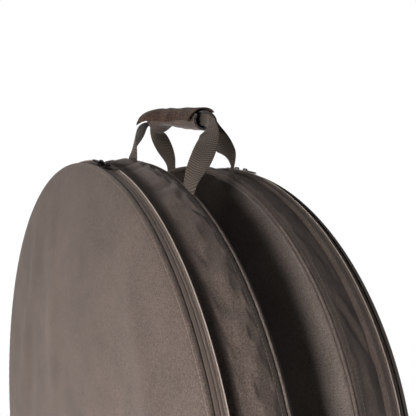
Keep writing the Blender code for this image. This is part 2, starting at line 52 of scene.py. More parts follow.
# Edges that bend more than this stay sharp
sharpAngle = math.radians(50)

# Sizes of the CAD model that the looks follow
layout = {
    "discRadius": 375 * mm,
    "bagGap": 118 * mm,
    "setBack": 39 * mm,
    "discHeight": 367 * mm,
    "seatGap": 0.3 * mm,
    "softFloor": 1.5 * mm,
    "floorLift": 0.6 * mm,
    "gussetStart": 5.8 * mm,
    "fixedTapeStart": 60.1 * mm,
    "zipStart": 63.2 * mm,
    "lidTapeStart": 64.8 * mm,
    "lidTapeEnd": 70 * mm,
    "outerEdge": 72.5 * mm,
    "cover": 2.2 * mm,
    "lidBend": 15 * mm,
    "zipHalfAngle": math.radians(108),
    "endTabAngle": math.radians(4.2),
    "ringSteps": 480,
}

# The two bags. edgeRoll, edgePower and dome shape the outer face: rise of its edge, how full it is, crown
bags = {
    "left": {"name": "left", "side": -1, "roll": math.radians(-15.9), "edgeRoll": 11 * mm, "edgePower": 6,
             "dome": 6 * mm, "seed": 3},
    "right": {"name": "right", "side": 1, "roll": math.radians(-6.8), "edgeRoll": 14 * mm, "edgePower": 20,
              "dome": 6 * mm, "seed": 11},
}

# Camera: where the photo was taken from, and its lens for a square picture
camera = {"place": (-0.3812, -0.7655, 0.6833), "direction": (0.5230, 0.8523, -0.0015), "lens": 49.75, "sensor": 36.0}


def addObject(name, data, place=(0, 0, 0), aim=None):
    made = bpy.data.objects.new(name, data)
    made.location = place
    if aim is not None:
        made.rotation_euler = aim.to_track_quat("-Z", "Y").to_euler()
    bpy.context.scene.collection.objects.link(made)
    return made


def addCamera(values):
    data = bpy.data.cameras.new("camera")
    data.lens = values["lens"]
    data.sensor_width = values["sensor"]
    bpy.context.scene.camera = addObject("camera", data, values["place"], Vector(values["direction"]).normalized())


addCamera(camera)
bpy.context.scene.view_settings.view_transform = "Standard"


# Nodes

def addNode(tree, kind, settings=None, **values):
    made = tree.nodes.new(kind)
    for name, value in (settings or {}).items():
        setattr(made, name, value)
    for name, value in values.items():
        connect(tree, made.inputs[name.replace("_", " ")], value)
    return made


def connect(tree, socket, value):
    if isinstance(value, bpy.types.NodeSocket):
        tree.links.new(value, socket)
    elif socket.type == "RGBA" and len(value) == 3:
        socket.default_value = (*value, 1.0)
    else:
        socket.default_value = value


def calc(tree, operation, *given):
    made = tree.nodes.new("ShaderNodeMath")
    made.operation = operation
    for socket, value in zip(made.inputs, given):
        connect(tree, socket, value)
    return made.outputs[0]


def greyColour(tree, value):
    return addNode(tree, "ShaderNodeCombineColor", Red=value, Green=value, Blue=value).outputs[0]


def clampShare(tree, value):
    return addNode(tree, "ShaderNodeClamp", Value=value).outputs[0]


def mixColour(tree, share, first, second, blend="MIX"):
    made = addNode(tree, "ShaderNodeMix", {"data_type": "RGBA", "blend_type": blend})
    for socket, value in ((0, share), (6, first), (7, second)):
        connect(tree, made.inputs[socket], value)
    return made.outputs[2]


def noise(tree, place, size, detail=2.0, roughness=0.5):
    scaled = addNode(tree, "ShaderNodeVectorMath", {"operation": "SCALE"})
    connect(tree, scaled.inputs[0], place)
    connect(tree, scaled.inputs[3], calc(tree, "DIVIDE", 1.0, size))
    return addNode(tree, "ShaderNodeTexNoise", Vector=scaled.outputs[0], Scale=1.0, Detail=detail,
                   Roughness=roughness).outputs[0]


def sineWave(tree, place, pitch, offset=0.5):
    # sin(turns) / 2 + offset
    rate = calc(tree, "DIVIDE", fullTurn, pitch)
    return calc(tree, "MULTIPLY_ADD", calc(tree, "SINE", calc(tree, "MULTIPLY", place, rate)), 0.5, offset)


def newGroup(name, inputs):
    # Inputs are label: value, None for a vector. Every effect gives a colour, a height and a roughness
    tree = bpy.data.node_groups.new(name, "ShaderNodeTree")
    shared = {"Place": None, "Light Colour": (0.2, 0.18, 0.16, 1), "Dark Colour": (0.1, 0.09, 0.08, 1)}
    for label, value in {**shared, **inputs}.items():
        kind = "Vector" if value is None else "Color" if isinstance(value, tuple) else "Float"
        socket = tree.interface.new_socket(label, in_out="INPUT", socket_type="NodeSocket" + kind)
        if value is not None:
            socket.default_value = value
    for label, kind in (("Colour", "Color"), ("Height", "Float"), ("Roughness", "Float")):
        tree.interface.new_socket(label, in_out="OUTPUT", socket_type="NodeSocket" + kind)
    return tree, tree.nodes.new("NodeGroupInput").outputs, tree.nodes.new("NodeGroupOutput").inputs


def fillGroup(tree, made, colour, height, roughness):
    for label, value in (("Colour", colour), ("Height", height), ("Roughness", roughness)):
        connect(tree, made[label], value)
    return tree


def wovenGroup():
    # Plain weave: threads of one pitch, over and under each other, with mottled and speckled colour
    tree, given, made = newGroup("wovenCloth", {
        "Coordinate": None, "Thread Pitch": 0.8 * mm, "Mottle Size": 60 * mm, "Speckle Size": 2.2 * mm,
        "Speckle": 0.3, "Grain Size": 1.4 * mm, "Grain": 1.5})
    place = given["Place"]
    parts = addNode(tree, "ShaderNodeSeparateXYZ", Vector=given["Coordinate"]).outputs
    rate = calc(tree, "DIVIDE", math.pi, given["Thread Pitch"])
    sines = [calc(tree, "SINE", calc(tree, "MULTIPLY", part, rate)) for part in (parts[0], parts[1])]
    across, along = [calc(tree, "POWER", calc(tree, "ABSOLUTE", sine), 0.7) for sine in sines]
    over = calc(tree, "GREATER_THAN", calc(tree, "MULTIPLY", *sines), 0.0)
    under = calc(tree, "MULTIPLY", calc(tree, "SUBTRACT", 1.0, over), along)
    threads = calc(tree, "ADD", calc(tree, "MULTIPLY", over, across), under)
    large = noise(tree, place, given["Mottle Size"], 4.0, 0.6)
    fine = noise(tree, place, given["Speckle Size"], 3.0, 0.7)
    spread = calc(tree, "MULTIPLY", calc(tree, "SUBTRACT", fine, 0.5), given["Speckle"])
    large = calc(tree, "MULTIPLY_ADD", calc(tree, "SUBTRACT", large, 0.5), 1.6, 0.5)
    share = clampShare(tree, calc(tree, "MULTIPLY_ADD", spread, 4.0, large))
    colour = mixColour(tree, share, given["Dark Colour"], given["Light Colour"])
    grain = calc(tree, "SUBTRACT", noise(tree, place, given["Grain Size"], 1.0), 0.5)
    grain = calc(tree, "MULTIPLY_ADD", grain, given["Grain"], 1.0)
    # Where the threads lie low the colour is darker: painted shade between the threads, times the grain, which is the
    # cloth's own heathered colour
    shade = calc(tree, "MULTIPLY", calc(tree, "MULTIPLY_ADD", threads, 0.3, 0.75), grain)
    colour = mixColour(tree, 1.0, colour, greyColour(tree, shade), "MULTIPLY")
    return fillGroup(tree, made, colour, threads, calc(tree, "MULTIPLY_ADD", fine, 0.2, 0.72))


def ribbedGroup():
    # Webbing and tape: beaded ribs that slant one way in each column and back in the next
    tree, given, made = newGroup("ribbedWebbing", {
        "Coordinate": None, "Rib Pitch": 3.2 * mm, "Column Width": 80 * mm, "Slant": 0.45,
        "Bead Pitch": 2.6 * mm, "Bead Share": 0.45})
    parts = addNode(tree, "ShaderNodeSeparateXYZ", Vector=given["Coordinate"]).outputs
    turned = calc(tree, "PINGPONG", parts[1], given["Column Width"])
    wave = sineWave(tree, calc(tree, "MULTIPLY_ADD", turned, given["Slant"], parts[0]), given["Rib Pitch"])
    bead = sineWave(tree, parts[1], given["Bead Pitch"], -0.5)
    wave = calc(tree, "MULTIPLY", wave, calc(tree, "MULTIPLY_ADD", bead, given["Bead Share"], 1.0))
    fine = noise(tree, given["Place"], 1.2 * mm, 2.0, 0.6)
    large = noise(tree, given["Place"], 25 * mm, 3.0, 0.6)
    # The colour follows the ribs, light on their crests and dark in the grooves: painted shade, mixed with the
    # webbing's own mottle
    share = calc(tree, "MULTIPLY_ADD", wave, 0.9, calc(tree, "MULTIPLY", calc(tree, "ADD", fine, large), 0.35))
    share = clampShare(tree, calc(tree, "SUBTRACT", share, 0.25))
    return fillGroup(tree, made, mixColour(tree, share, given["Dark Colour"], given["Light Colour"]),
                     calc(tree, "MULTIPLY_ADD", fine, 0.25, wave), calc(tree, "MULTIPLY_ADD", wave, -0.1, 0.78))


def fuzzyGroup():
    # Brushed loops: clumps of short bright fibres on a dark ground
    tree, given, made = newGroup("fuzzyLoops", {"Clump Size": 1.4 * mm, "Contrast": 2.2})
    clump = noise(tree, given["Place"], given["Clump Size"], 4.0, 0.75)
    patch = noise(tree, given["Place"], 14 * mm, 2.0, 0.5)
    share = calc(tree, "MULTIPLY_ADD", calc(tree, "SUBTRACT", clump, 0.5), given["Contrast"], patch)
    colour = mixColour(tree, clampShare(tree, share), given["Dark Colour"], given["Light Colour"])
    return fillGroup(tree, made, colour, clump, calc(tree, "MULTIPLY_ADD", clump, 0.15, 0.82))


groups = {"woven": wovenGroup(), "ribbed": ribbedGroup(), "fuzzy": fuzzyGroup()}

# Each finish: effect, the record's slot, light and dark colour (linear), bump in mm, sheen, the effect's
# other values, and constants of the shader
shellWeave = {"Thread Pitch": 0.85 * mm, "Speckle Size": 2.4 * mm, "Speckle": 0.45}
finishes = {
    "shell": ("woven", "shell_fabric", (0.170, 0.134, 0.117), (0.095, 0.076, 0.067), 0.12, 0.25, shellWeave),
    "gusset": ("woven", "shell_fabric", (0.172, 0.136, 0.119), (0.110, 0.088, 0.077), 0.12, 0.25,
               {**shellWeave, "Mottle Size": 35 * mm}),
    # The inner faces are the shell fabric made lighter: painted light on faces that lie in the other bag's shade
    "inner": ("woven", "shell_fabric", (0.310, 0.264, 0.237), (0.205, 0.174, 0.156), 0.12, 0.2, shellWeave),
    # The piping is lighter than the shell: partly its own colour, partly painted highlight so that its cords show as
    # bright lines
    "piping": ("woven", "piping_fabric", (0.30, 0.245, 0.218), (0.18, 0.148, 0.132), 0.06, 0.3,
               {"Thread Pitch": 0.6 * mm, "Mottle Size": 20 * mm, "Speckle": 0.3}),
    # The zip tape is lighter than the shell: painted light, so that the recessed tape shows as bright as the panel's
    # lit edge
    "tape": ("ribbed", "zip_tape", (0.27, 0.218, 0.192), (0.17, 0.138, 0.122), 0.05, 0.2,
             {"Rib Pitch": 0.9 * mm, "Column Width": 1.3 * mm}),
    "coil": ("fuzzy", "zip_coil", (0.05, 0.045, 0.04), (0.025, 0.022, 0.02), 0.01, 0.0,
             {"Clump Size": 3 * mm, "Contrast": 1.0}),
    "lining": ("woven", "foam_padding", (0.30, 0.29, 0.28), (0.22, 0.21, 0.205), 0.2, 0.4,
               {"Thread Pitch": 1.6 * mm, "Speckle": 0.2}),
    "webbing": ("ribbed", "webbing", (0.230, 0.192, 0.160), (0.034, 0.029, 0.026), 0.5, 0.15),
    "wrap": ("fuzzy", "wrap_fabric", (0.150, 0.092, 0.070), (0.014, 0.009, 0.008), 0.7, 0.12,
             {"Clump Size": 2.2 * mm, "Contrast": 5.0}),
    "sleeve": ("fuzzy", "wrap_fabric", (0.235, 0.180, 0.158), (0.085, 0.066, 0.058), 0.35, 0.3,
               {"Clump Size": 1.8 * mm, "Contrast": 2.6}),
    "loops": ("fuzzy", "loop_fabric", (0.20, 0.19, 0.21), (0.016, 0.014, 0.016), 0.6, 0.3),
    "hooks": ("fuzzy", "hook_tape", (0.06, 0.055, 0.05), (0.02, 0.018, 0.017), 0.3, 0.0, {"Clump Size": 0.9 * mm}),
    "thread": ("fuzzy", "shell_fabric", (0.31, 0.26, 0.23), (0.18, 0.15, 0.13), 0.05, 0.3,
               {"Clump Size": 0.6 * mm, "Contrast": 1.0}),
    "guard": ("fuzzy", "hub_guard_sheet", (0.05, 0.05, 0.05), (0.03, 0.03, 0.03), 0.05, 0.0,
              {"Clump Size": 2 * mm, "Contrast": 1.0}),
    # The lip's pale colour is a painted highlight along the crest of the zip's fold, with gloss on top
    "lip": ("fuzzy", "piping_fabric", (0.56, 0.48, 0.43), (0.40, 0.34, 0.30), 0.02, 0.2,
            {"Clump Size": 3 * mm, "Contrast": 1.0}, {"Specular IOR Level": 0.5}),
    "metal": ("fuzzy", "slider_metal", (0.040, 0.035, 0.030), (0.010, 0.009, 0.008), 0.03, 0.0,
              {"Clump Size": 2.5 * mm, "Contrast": 1.2},
              {"Specular IOR Level": 0.5, "Metallic": 0.9, "Roughness": 0.3, "Specular Tint": (0.16, 0.14, 0.12, 1)}),
}


def newMaterial(name, group, slot, light, dark, bump, sheen, values=None, constants=None):
    made = bpy.data.materials.new(name)
    made.use_nodes = True
    tree = made.node_tree
    effect = tree.nodes.new("ShaderNodeGroup")
    effect.node_tree = groups[group]
    where = addNode(tree, "ShaderNodeTexCoord").outputs
    given = {"Place": where["Object"], "Light Colour": light, "Dark Colour": dark, **(values or {})}
    if "Coordinate" in effect.inputs:
        given["Coordinate"] = where["UV"]
    for label, value in given.items():
        connect(tree, effect.inputs[label], value)
    raised = addNode(tree, "ShaderNodeBump", Strength=1.0, Distance=bump * mm, Height=effect.outputs["Height"])
    shader = {"Base Color": effect.outputs["Colour"], "Roughness": effect.outputs["Roughness"],
              "Normal": raised.outputs[0], "Sheen Weight": sheen, "Specular IOR Level": 0.06, **(constants or {})}
    for label, value in shader.items():
        connect(tree, tree.nodes["Principled BSDF"].inputs[label], value)
    return made


looks = {name: newMaterial(name, *entry) for name, entry in finishes.items()}
print("materials made")


# Shapes that several pieces use

def unit(value):
    return np.clip(value, 0, 1)


def ramp(value, start, over):
    # Rises from 0 at its start to 1
    return unit((value - start) / over)


def sineOf(turns):
    return np.sin(fullTurn * turns)


def ease(share):
    return share * share * (3 - 2 * share)


def bell(value, middle, width):
    return np.exp(-((value - middle) / width) ** 2)


def rounding(share, least=0.0):
    # Quarter circle from an edge inwards
    return np.sqrt(np.clip(1 - (1 - unit(share)) ** 2, least, 1))


def direct(vectors):
    return vectors / np.maximum(np.linalg.norm(vectors, axis=-1, keepdims=True), 1e-6)


def lengths(points, axis):
    # Mean length along rows or columns, with one step more for a closed grid
    steps = np.linalg.norm(np.roll(points, -1, axis) - points, axis=-1).mean(1 - axis)
    return np.concatenate([[0.0], np.cumsum(steps)])


def gridMesh(name, points, look, nodes=(), body=None, ring=False, poles=False, uv=None):
    # points is rows x columns x 3. The rows close to a ring, or both end rows get a face. The columns close,
    # or the first and last one each shrink to a point. nodes are what the piece stands for
    rows, columns = points.shape[:2]
    index = np.arange(rows * columns).reshape(rows, columns)
    steps = np.arange(rows if ring else rows - 1), np.arange(columns - 1 if poles else columns)
    r, c = [part.ravel() for part in np.meshgrid(*steps, indexing="ij")]
    places = ((r, c), (r + 1, c), (r + 1, c + 1), (r, c + 1))
    faces = np.stack([index[rr % rows, cc % columns] for rr, cc in places], -1).tolist()
    if uv is None:
        along, across = lengths(points, 0), lengths(points, 1)
        corners = [np.stack([along[rr], across[cc]], -1) for rr, cc in places]
    else:
        corners = [uv[rr % rows, cc % columns] for rr, cc in places]
    vertices = points.reshape(-1, 3).copy()
    if poles:
        for column in (0, columns - 1):
            vertices[index[:, column]] = vertices[index[:, column]].mean(0)
    if not ring:
        faces += [index[0].tolist()[::-1], index[-1].tolist()]
    mesh = bpy.data.meshes.new(name)
    mesh.from_pydata(vertices, [], faces)
    values = np.zeros((len(mesh.loops), 2), np.float32)
    values[:len(r) * 4] = np.stack(corners, 1).reshape(-1, 2)
    mesh.uv_layers.new(name="metres").data.foreach_set("uv", values.ravel())
    made = finishMesh(name, mesh, look, weld=poles)
    if nodes:
        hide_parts(*nodes)
    if body:
        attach(made, body)
    return made


def finishMesh(name, mesh, look, weld=False):
    work = bmesh.new()
    work.from_mesh(mesh)
    if weld:
        bmesh.ops.remove_doubles(work, verts=work.verts, dist=1e-7)
    bmesh.ops.recalc_face_normals(work, faces=work.faces)
    work.to_mesh(mesh)
    work.free()
    mesh.shade_smooth()
    mesh.set_sharp_from_angle(angle=sharpAngle)
    mesh.materials.append(looks[look])
    made = addObject(name, mesh)
    return made


def curveThrough(knots, at):
    # Smooth curve through (place, value) knots: cubic pieces whose slopes are those of the neighbouring knots
    x, y = np.array(knots, float).T
    slope = np.gradient(y, x)
    i = np.clip(np.searchsorted(x, at) - 1, 0, len(x) - 2)
    step = x[i + 1] - x[i]
    t = ramp(at, x[i], step)
    return ((2 * t ** 3 - 3 * t ** 2 + 1) * y[i] + (t ** 3 - 2 * t ** 2 + t) * step * slope[i]
            + (3 * t ** 2 - 2 * t ** 3) * y[i + 1] + (t ** 3 - t ** 2) * step * slope[i + 1])


def waves(places, seed, size, layers=5):
    # Smooth wandering field: a sum of sine waves with seeded directions, for points of any number of dimensions
    chance = np.random.default_rng(seed)
    total = np.zeros(places.shape[:-1])
    for layer in range(layers):
        direction = chance.normal(size=places.shape[-1])
        direction /= np.linalg.norm(direction)
        rate = fullTurn / (size * chance.uniform(0.6, 1.6))
        total += np.sin(places @ direction * rate + chance.uniform(0, fullTurn))
    return total / layers


def bagPoints(bag, along, radius, angle, lift=0.0):
    # x = side (gap / 2 + along); y, z = centre + radius (sin, cos)(angle + roll), pressed softly on to the floor
    along, radius, angle = np.broadcast_arrays(along, radius, angle)
    turned = angle + bag["roll"]
    y = bag["side"] * layout["setBack"] / 2 + radius * np.sin(turned)
    z = layout["discHeight"] + radius * np.cos(turned)
    low = lift + np.maximum(layout["discRadius"] - radius, 0)
    z = low + ((z - low) + np.sqrt((z - low) ** 2 + layout["softFloor"] ** 2)) / 2
    return np.stack([bag["side"] * (layout["bagGap"] / 2 + along), y, z], -1)


def ringAngles(steps=layout["ringSteps"]):
    return np.arange(steps) * fullTurn / steps


def roundedBox(start, end, low, top, corner, points=4):
    # Closed outline of (along, radius) with rounded corners
    turns = np.linspace(0, math.pi / 2, points)
    outline = []
    for quarter, (x, r) in enumerate(((end - corner, top - corner), (start + corner, top - corner),
                                      (start + corner, low + corner), (end - corner, low + corner))):
        for turn in turns + quarter * math.pi / 2:
            outline.append((x + corner * math.cos(turn), r + corner * math.sin(turn)))
    return np.array(outline)


def ringPiece(name, bag, outline, look, nodes=(), body="pair", angles=None, steps=layout["ringSteps"]):
    # Outline carried round the bag's axis: a whole ring, or a part of one with ends
    whole = angles is None
    angles = (ringAngles(steps) if whole else angles)[:, None]
    points = bagPoints(bag, outline[None, :, 0], outline[None, :, 1], angles, layout["floorLift"])
    return gridMesh(name, points, look, nodes, body, ring=whole)


# Seam stitches: one rounded thread each, carried round the bag
stitches = {"pitch": 4.4 * mm, "length": 3.3 * mm, "radius": 0.34 * mm, "rings": 5, "sides": 6, "lift": 0.12 * mm,
            "taper": 0.96}


def stitchRow(name, bag, along, angles, radius, values=stitches):
    # along and radius are given at the angles of a whole ring; all the row's stitches are one mesh
    rings, sides = values["rings"], values["sides"]
    count = int(fullTurn * layout["discRadius"] / values["pitch"])
    middle = ringAngles(count)[:, None, None]
    t = np.linspace(-1, 1, rings)[None, :, None]
    turn = ringAngles(sides)
    angle = middle + t * values["length"] / 2 / layout["discRadius"]
    level = np.interp(angle, angles, radius, period=fullTurn)
    side = np.interp(angle, angles, np.broadcast_to(along, angles.shape), period=fullTurn)
    thick = values["radius"] * np.sqrt(1 - (values["taper"] * t) ** 2)
    up = level + values["lift"] * (1 - 2 * t ** 2) + thick * np.cos(turn)
    points = bagPoints(bag, side + thick * np.sin(turn), up, angle, layout["floorLift"])
    index = np.arange(count * rings * sides).reshape(count, rings, sides)
    after = np.roll(index, -1, 2)
    quads = np.stack([index[:, :-1], after[:, :-1], after[:, 1:], index[:, 1:]], -1).reshape(-1, 4)
    ends = np.concatenate([index[:, 0, ::-1], index[:, -1]])
    mesh = bpy.data.meshes.new(name)
    mesh.from_pydata(points.reshape(-1, 3), [], quads.tolist() + ends.tolist())
    return finishMesh(name, mesh, "thread")


def blendLid(obj, bag):
    # Works out both ends of a bend across the lid's hinge line, but bends nothing: it only bakes the object's
    # transform
    level = layout["discRadius"] * math.cos(layout["zipHalfAngle"])
    ends = [bagPoints(bag, layout["outerEdge"], abs(height), math.pi if height < 0 else 0.0).tolist()
            for height in (level - layout["lidBend"], level + layout["lidBend"])]
    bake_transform(obj)


# Both covers: rings of points from the rim inwards, and fewer rings on the way back behind them
coverRings = {"last": 2 * mm, "backStep": 24 * mm, "backRim": (12, 5, 2, 0.6, 0)}


def makeCover(bag, side, look, nodes, body, radius, values, heightOver):
    # heightOver(inset, angle, plane, back) gives the cover's height at an inset from the rim, and plane is (y, z)
    rim, backRim = np.array(values["rim"]) * mm, np.array(coverRings["backRim"]) * mm
    step, backStep = values["ringStep"], coverRings["backStep"]
    front = np.concatenate([rim, np.arange(rim[-1] + step, radius - coverRings["last"], step), [radius]])
    back = np.concatenate([np.arange(radius, backStep, -backStep), backRim])
    angle = ringAngles()[:, None]
    heights = [heightOver(inset, angle, bagPoints(bag, 0.0, radius - inset, angle)[..., 1:3], inset is back)
               for inset in (front, back)]
    along = np.concatenate([height[:, ::-1] for height in heights], 1)
    points = bagPoints(bag, along, radius - np.concatenate([front[::-1], back[::-1]]), angle, layout["floorLift"])
    face = gridMesh(f"{bag['name']}_{side}_face", points, look, nodes, body, True, True, points[..., 1:3])
    return face, front, heights[0]


# Outer faces: one padded cover over the lid and the part below its hinge line
outerFace = {
    "rim": (0, 0.15, 0.4, 0.8, 1.4, 2.0, 2.6, 3.0, 3.4, 3.8, 4.3, 5, 6, 7.5, 9.5, 12, 15, 18.5),
    "ringStep": 6 * mm,
    "stitchInset": 3.4 * mm,
    "stitchDip": 0.55 * mm,
    "stitchWidth": 0.9 * mm,
    "weltRise": 0.5 * mm,
    "wander": 1.1 * mm,
    "wanderSize": 0.22,
    "puckerDepth": 0.35 * mm,
    "puckerCount": 150,
    "puckerStart": 8 * mm,
    "puckerReach": 25 * mm,
    "fadeFrom": 5 * mm,
    "fadeOver": 30 * mm,
    "backFade": 10 * mm,
    # (y, z) in metres of both ends, height and width in mm
    "folds": {
        "left": (((0.048, 0.690), (0.020, 0.400), 3.0, 26), ((0.110, 0.660), (0.215, 0.330), 3.6, 26),
                 ((0.160, 0.600), (0.140, 0.340), -2.4, 24), ((-0.200, 0.640), (-0.300, 0.420), 2.0, 22),
                 ((-0.160, 0.560), (-0.240, 0.300), -1.6, 34)),
        "right": (((-0.10, 0.62), (-0.06, 0.36), 2.6, 26), ((0.05, 0.66), (0.12, 0.30), 2.4, 24),
                  ((0.20, 0.52), (0.14, 0.22), -2.4, 30)),
    },
}


def lineDistance(x, y, a, b):
    # Share of the way from a to b, free at both ends, and the distance to the line between them
    a, run = np.array(a), np.array(b) - np.array(a)
    share = ((x - a[0]) * run[0] + (y - a[1]) * run[1]) / (run @ run)
    held = unit(share)
    return share, np.hypot(x - a[0] - held * run[0], y - a[1] - held * run[1])


def foldField(plane, folds):
    # Each fold is a soft ridge along a line in the bag's plane: height exp(-(distance / width)^2)
    total = np.zeros(plane.shape[:-1])
    for a, b, height, width in folds:
        share, away = lineDistance(plane[..., 0], plane[..., 1], a, b)
        taper = np.sin(math.pi * unit(share * 0.9 + 0.05)) ** 0.7
        total += height * mm * taper * bell(away, 0, width * mm)
    return total


def crownHeight(bag, radius):
    # Rises steeply from the edge, levels out, and domes a little towards the middle
    share = unit(radius / (layout["discRadius"] - layout["seatGap"]))
    return (layout["outerEdge"] + bag["edgeRoll"] * np.sqrt(1 - share ** bag["edgePower"])
            + bag["dome"] * (1 - share ** 2))


def faceRelief(bag, inset, angle, plane, values):
    # Seam and folds: a welt, a dip at the stitches, puckers that fade inwards, slow wandering and the folds
    seam = values["stitchInset"]
    dip = -values["stitchDip"] * bell(inset, seam, values["stitchWidth"])
    welt = values["weltRise"] * bell(inset, seam / 2, seam / 2)
    inner = ramp(inset, seam, values["puckerStart"]) * np.exp(-inset / values["puckerReach"])
    pucker = values["puckerDepth"] * inner * np.sin(angle * values["puckerCount"] + 3 * np.sin(angle * 7))
    fade = ease(ramp(inset, values["fadeFrom"], values["fadeOver"]))
    slow = values["wander"] * waves(plane, bag["seed"], values["wanderSize"])
    return dip + welt + pucker + fade * (slow + foldField(plane, values["folds"][bag["name"]]))


def makeOuterFace(bag, values):
    name = bag["name"]
    radius = layout["discRadius"] - layout["seatGap"]

    def heightOver(inset, angle, plane, back):
        height = crownHeight(bag, radius - inset)
        relief = faceRelief(bag, inset, angle, plane, values)
        return height + relief * unit(inset / values["backFade"]) - layout["cover"] if back else height + relief

    face, inset, height = makeCover(bag, "outer", "shell", [f"{name}_lid_panel", f"{name}_lower_panel"], None,
                                    radius, values, heightOver)
    blendLid(face, bag)
    column = np.searchsorted(inset, values["stitchInset"])
    angles = ringAngles()
    blendLid(stitchRow(f"{name}_stitches_face", bag, height[:, column], angles,
                       np.full(len(angles), radius - inset[column])), bag)


# Pads behind the covers: foam with a knitted lining
padding = {"thickness": 6 * mm, "margin": 11 * mm, "steps": 240, "rim": (0, 0.3, 0.8, 1.6, 3, 6),
           "ringStep": 12 * mm, "edge": 3 * mm, "fill": 0.5}


def discPad(name, bag, frontHeight, direction, nodes, body=None, values=padding):
    # Closed disc that follows frontHeight(radius), thinner towards its rounded rim
    radius = layout["discRadius"] - values["margin"]
    rings = np.arange(values["ringStep"], radius, values["ringStep"])
    inset = np.concatenate([np.array(values["rim"]) * mm, rings, [radius]])
    radii = radius - inset
    rounded = rounding(inset / values["edge"])
    half = values["thickness"] / 2
    middle = frontHeight(radii) + direction * (layout["seatGap"] + half)
    along = np.concatenate([(middle - direction * half * rounded)[::-1], (middle + direction * half * rounded)[1:]])
    points = bagPoints(bag, along, np.concatenate([radii[::-1], radii[1:]]), ringAngles(values["steps"])[:, None],
                       layout["floorLift"])
    pad = gridMesh(name, points, "lining", nodes, body, True, True, points[..., 1:3])
    return pad


# Inner faces, towards the other bag
innerFace = {
    "edgeRoll": 9 * mm,
    "edgePower": 9,
    "edgePuff": 5 * mm,
    "puffPlace": 0.86,
    "puffWidth": 0.09,
    "dome": 6 * mm,
    "rootDepth": 2.7 * mm,
    "rim": (0, 0.4, 1, 2, 3, 4.2, 5.5, 7, 9, 12, 16),
    "ringStep": 8 * mm,
    "wander": 1.3 * mm,
    "wanderSize": 0.2,
    "fadeOver": 40 * mm,
}


def innerHeight(radius, values=innerFace):
    # As the outer face's, but towards the other bag and with a puffed ring inside its edge
    share = unit(radius / (layout["discRadius"] - values["rootDepth"]))
    puff = values["edgePuff"] * bell(share, values["puffPlace"], values["puffWidth"])
    return (-layout["cover"] / 2 - values["edgeRoll"] * np.sqrt(1 - share ** values["edgePower"])
            - values["dome"] * (1 - share ** 2) - puff * (1 - share ** 12))


def makeInnerFace(bag, values):
    radius = layout["discRadius"] - values["rootDepth"]

    def heightOver(inset, angle, plane, back):
        height = innerHeight(radius - inset)
        if back:
            return height + layout["cover"] + 0 * angle
        fade = unit(inset / values["fadeOver"])
        return height - values["wander"] * fade * waves(plane, bag["seed"] + 20, values["wanderSize"])

    # The inner faces take the lighter inner cloth, which is painted light for the shade they lie in
    makeCover(bag, "inner", "inner", [f"{bag['name']}_inner_panel"], "pair", radius, values, heightOver)


for bag in bags.values():
    name = bag["name"]
    pad = discPad(f"{name}_outer_pad", bag, lambda radius, bag=bag: crownHeight(bag, radius) - layout["cover"], -1,
                  [f"{name}_lid_padding", f"{name}_lower_padding"])
    blendLid(pad, bag)
    discPad(f"{name}_inner_pad", bag, lambda radius: innerHeight(radius) + layout["cover"], 1,
            [f"{name}_inner_padding"], "pair")
    makeOuterFace(bag, outerFace)
    makeInnerFace(bag, innerFace)
print("faces made")


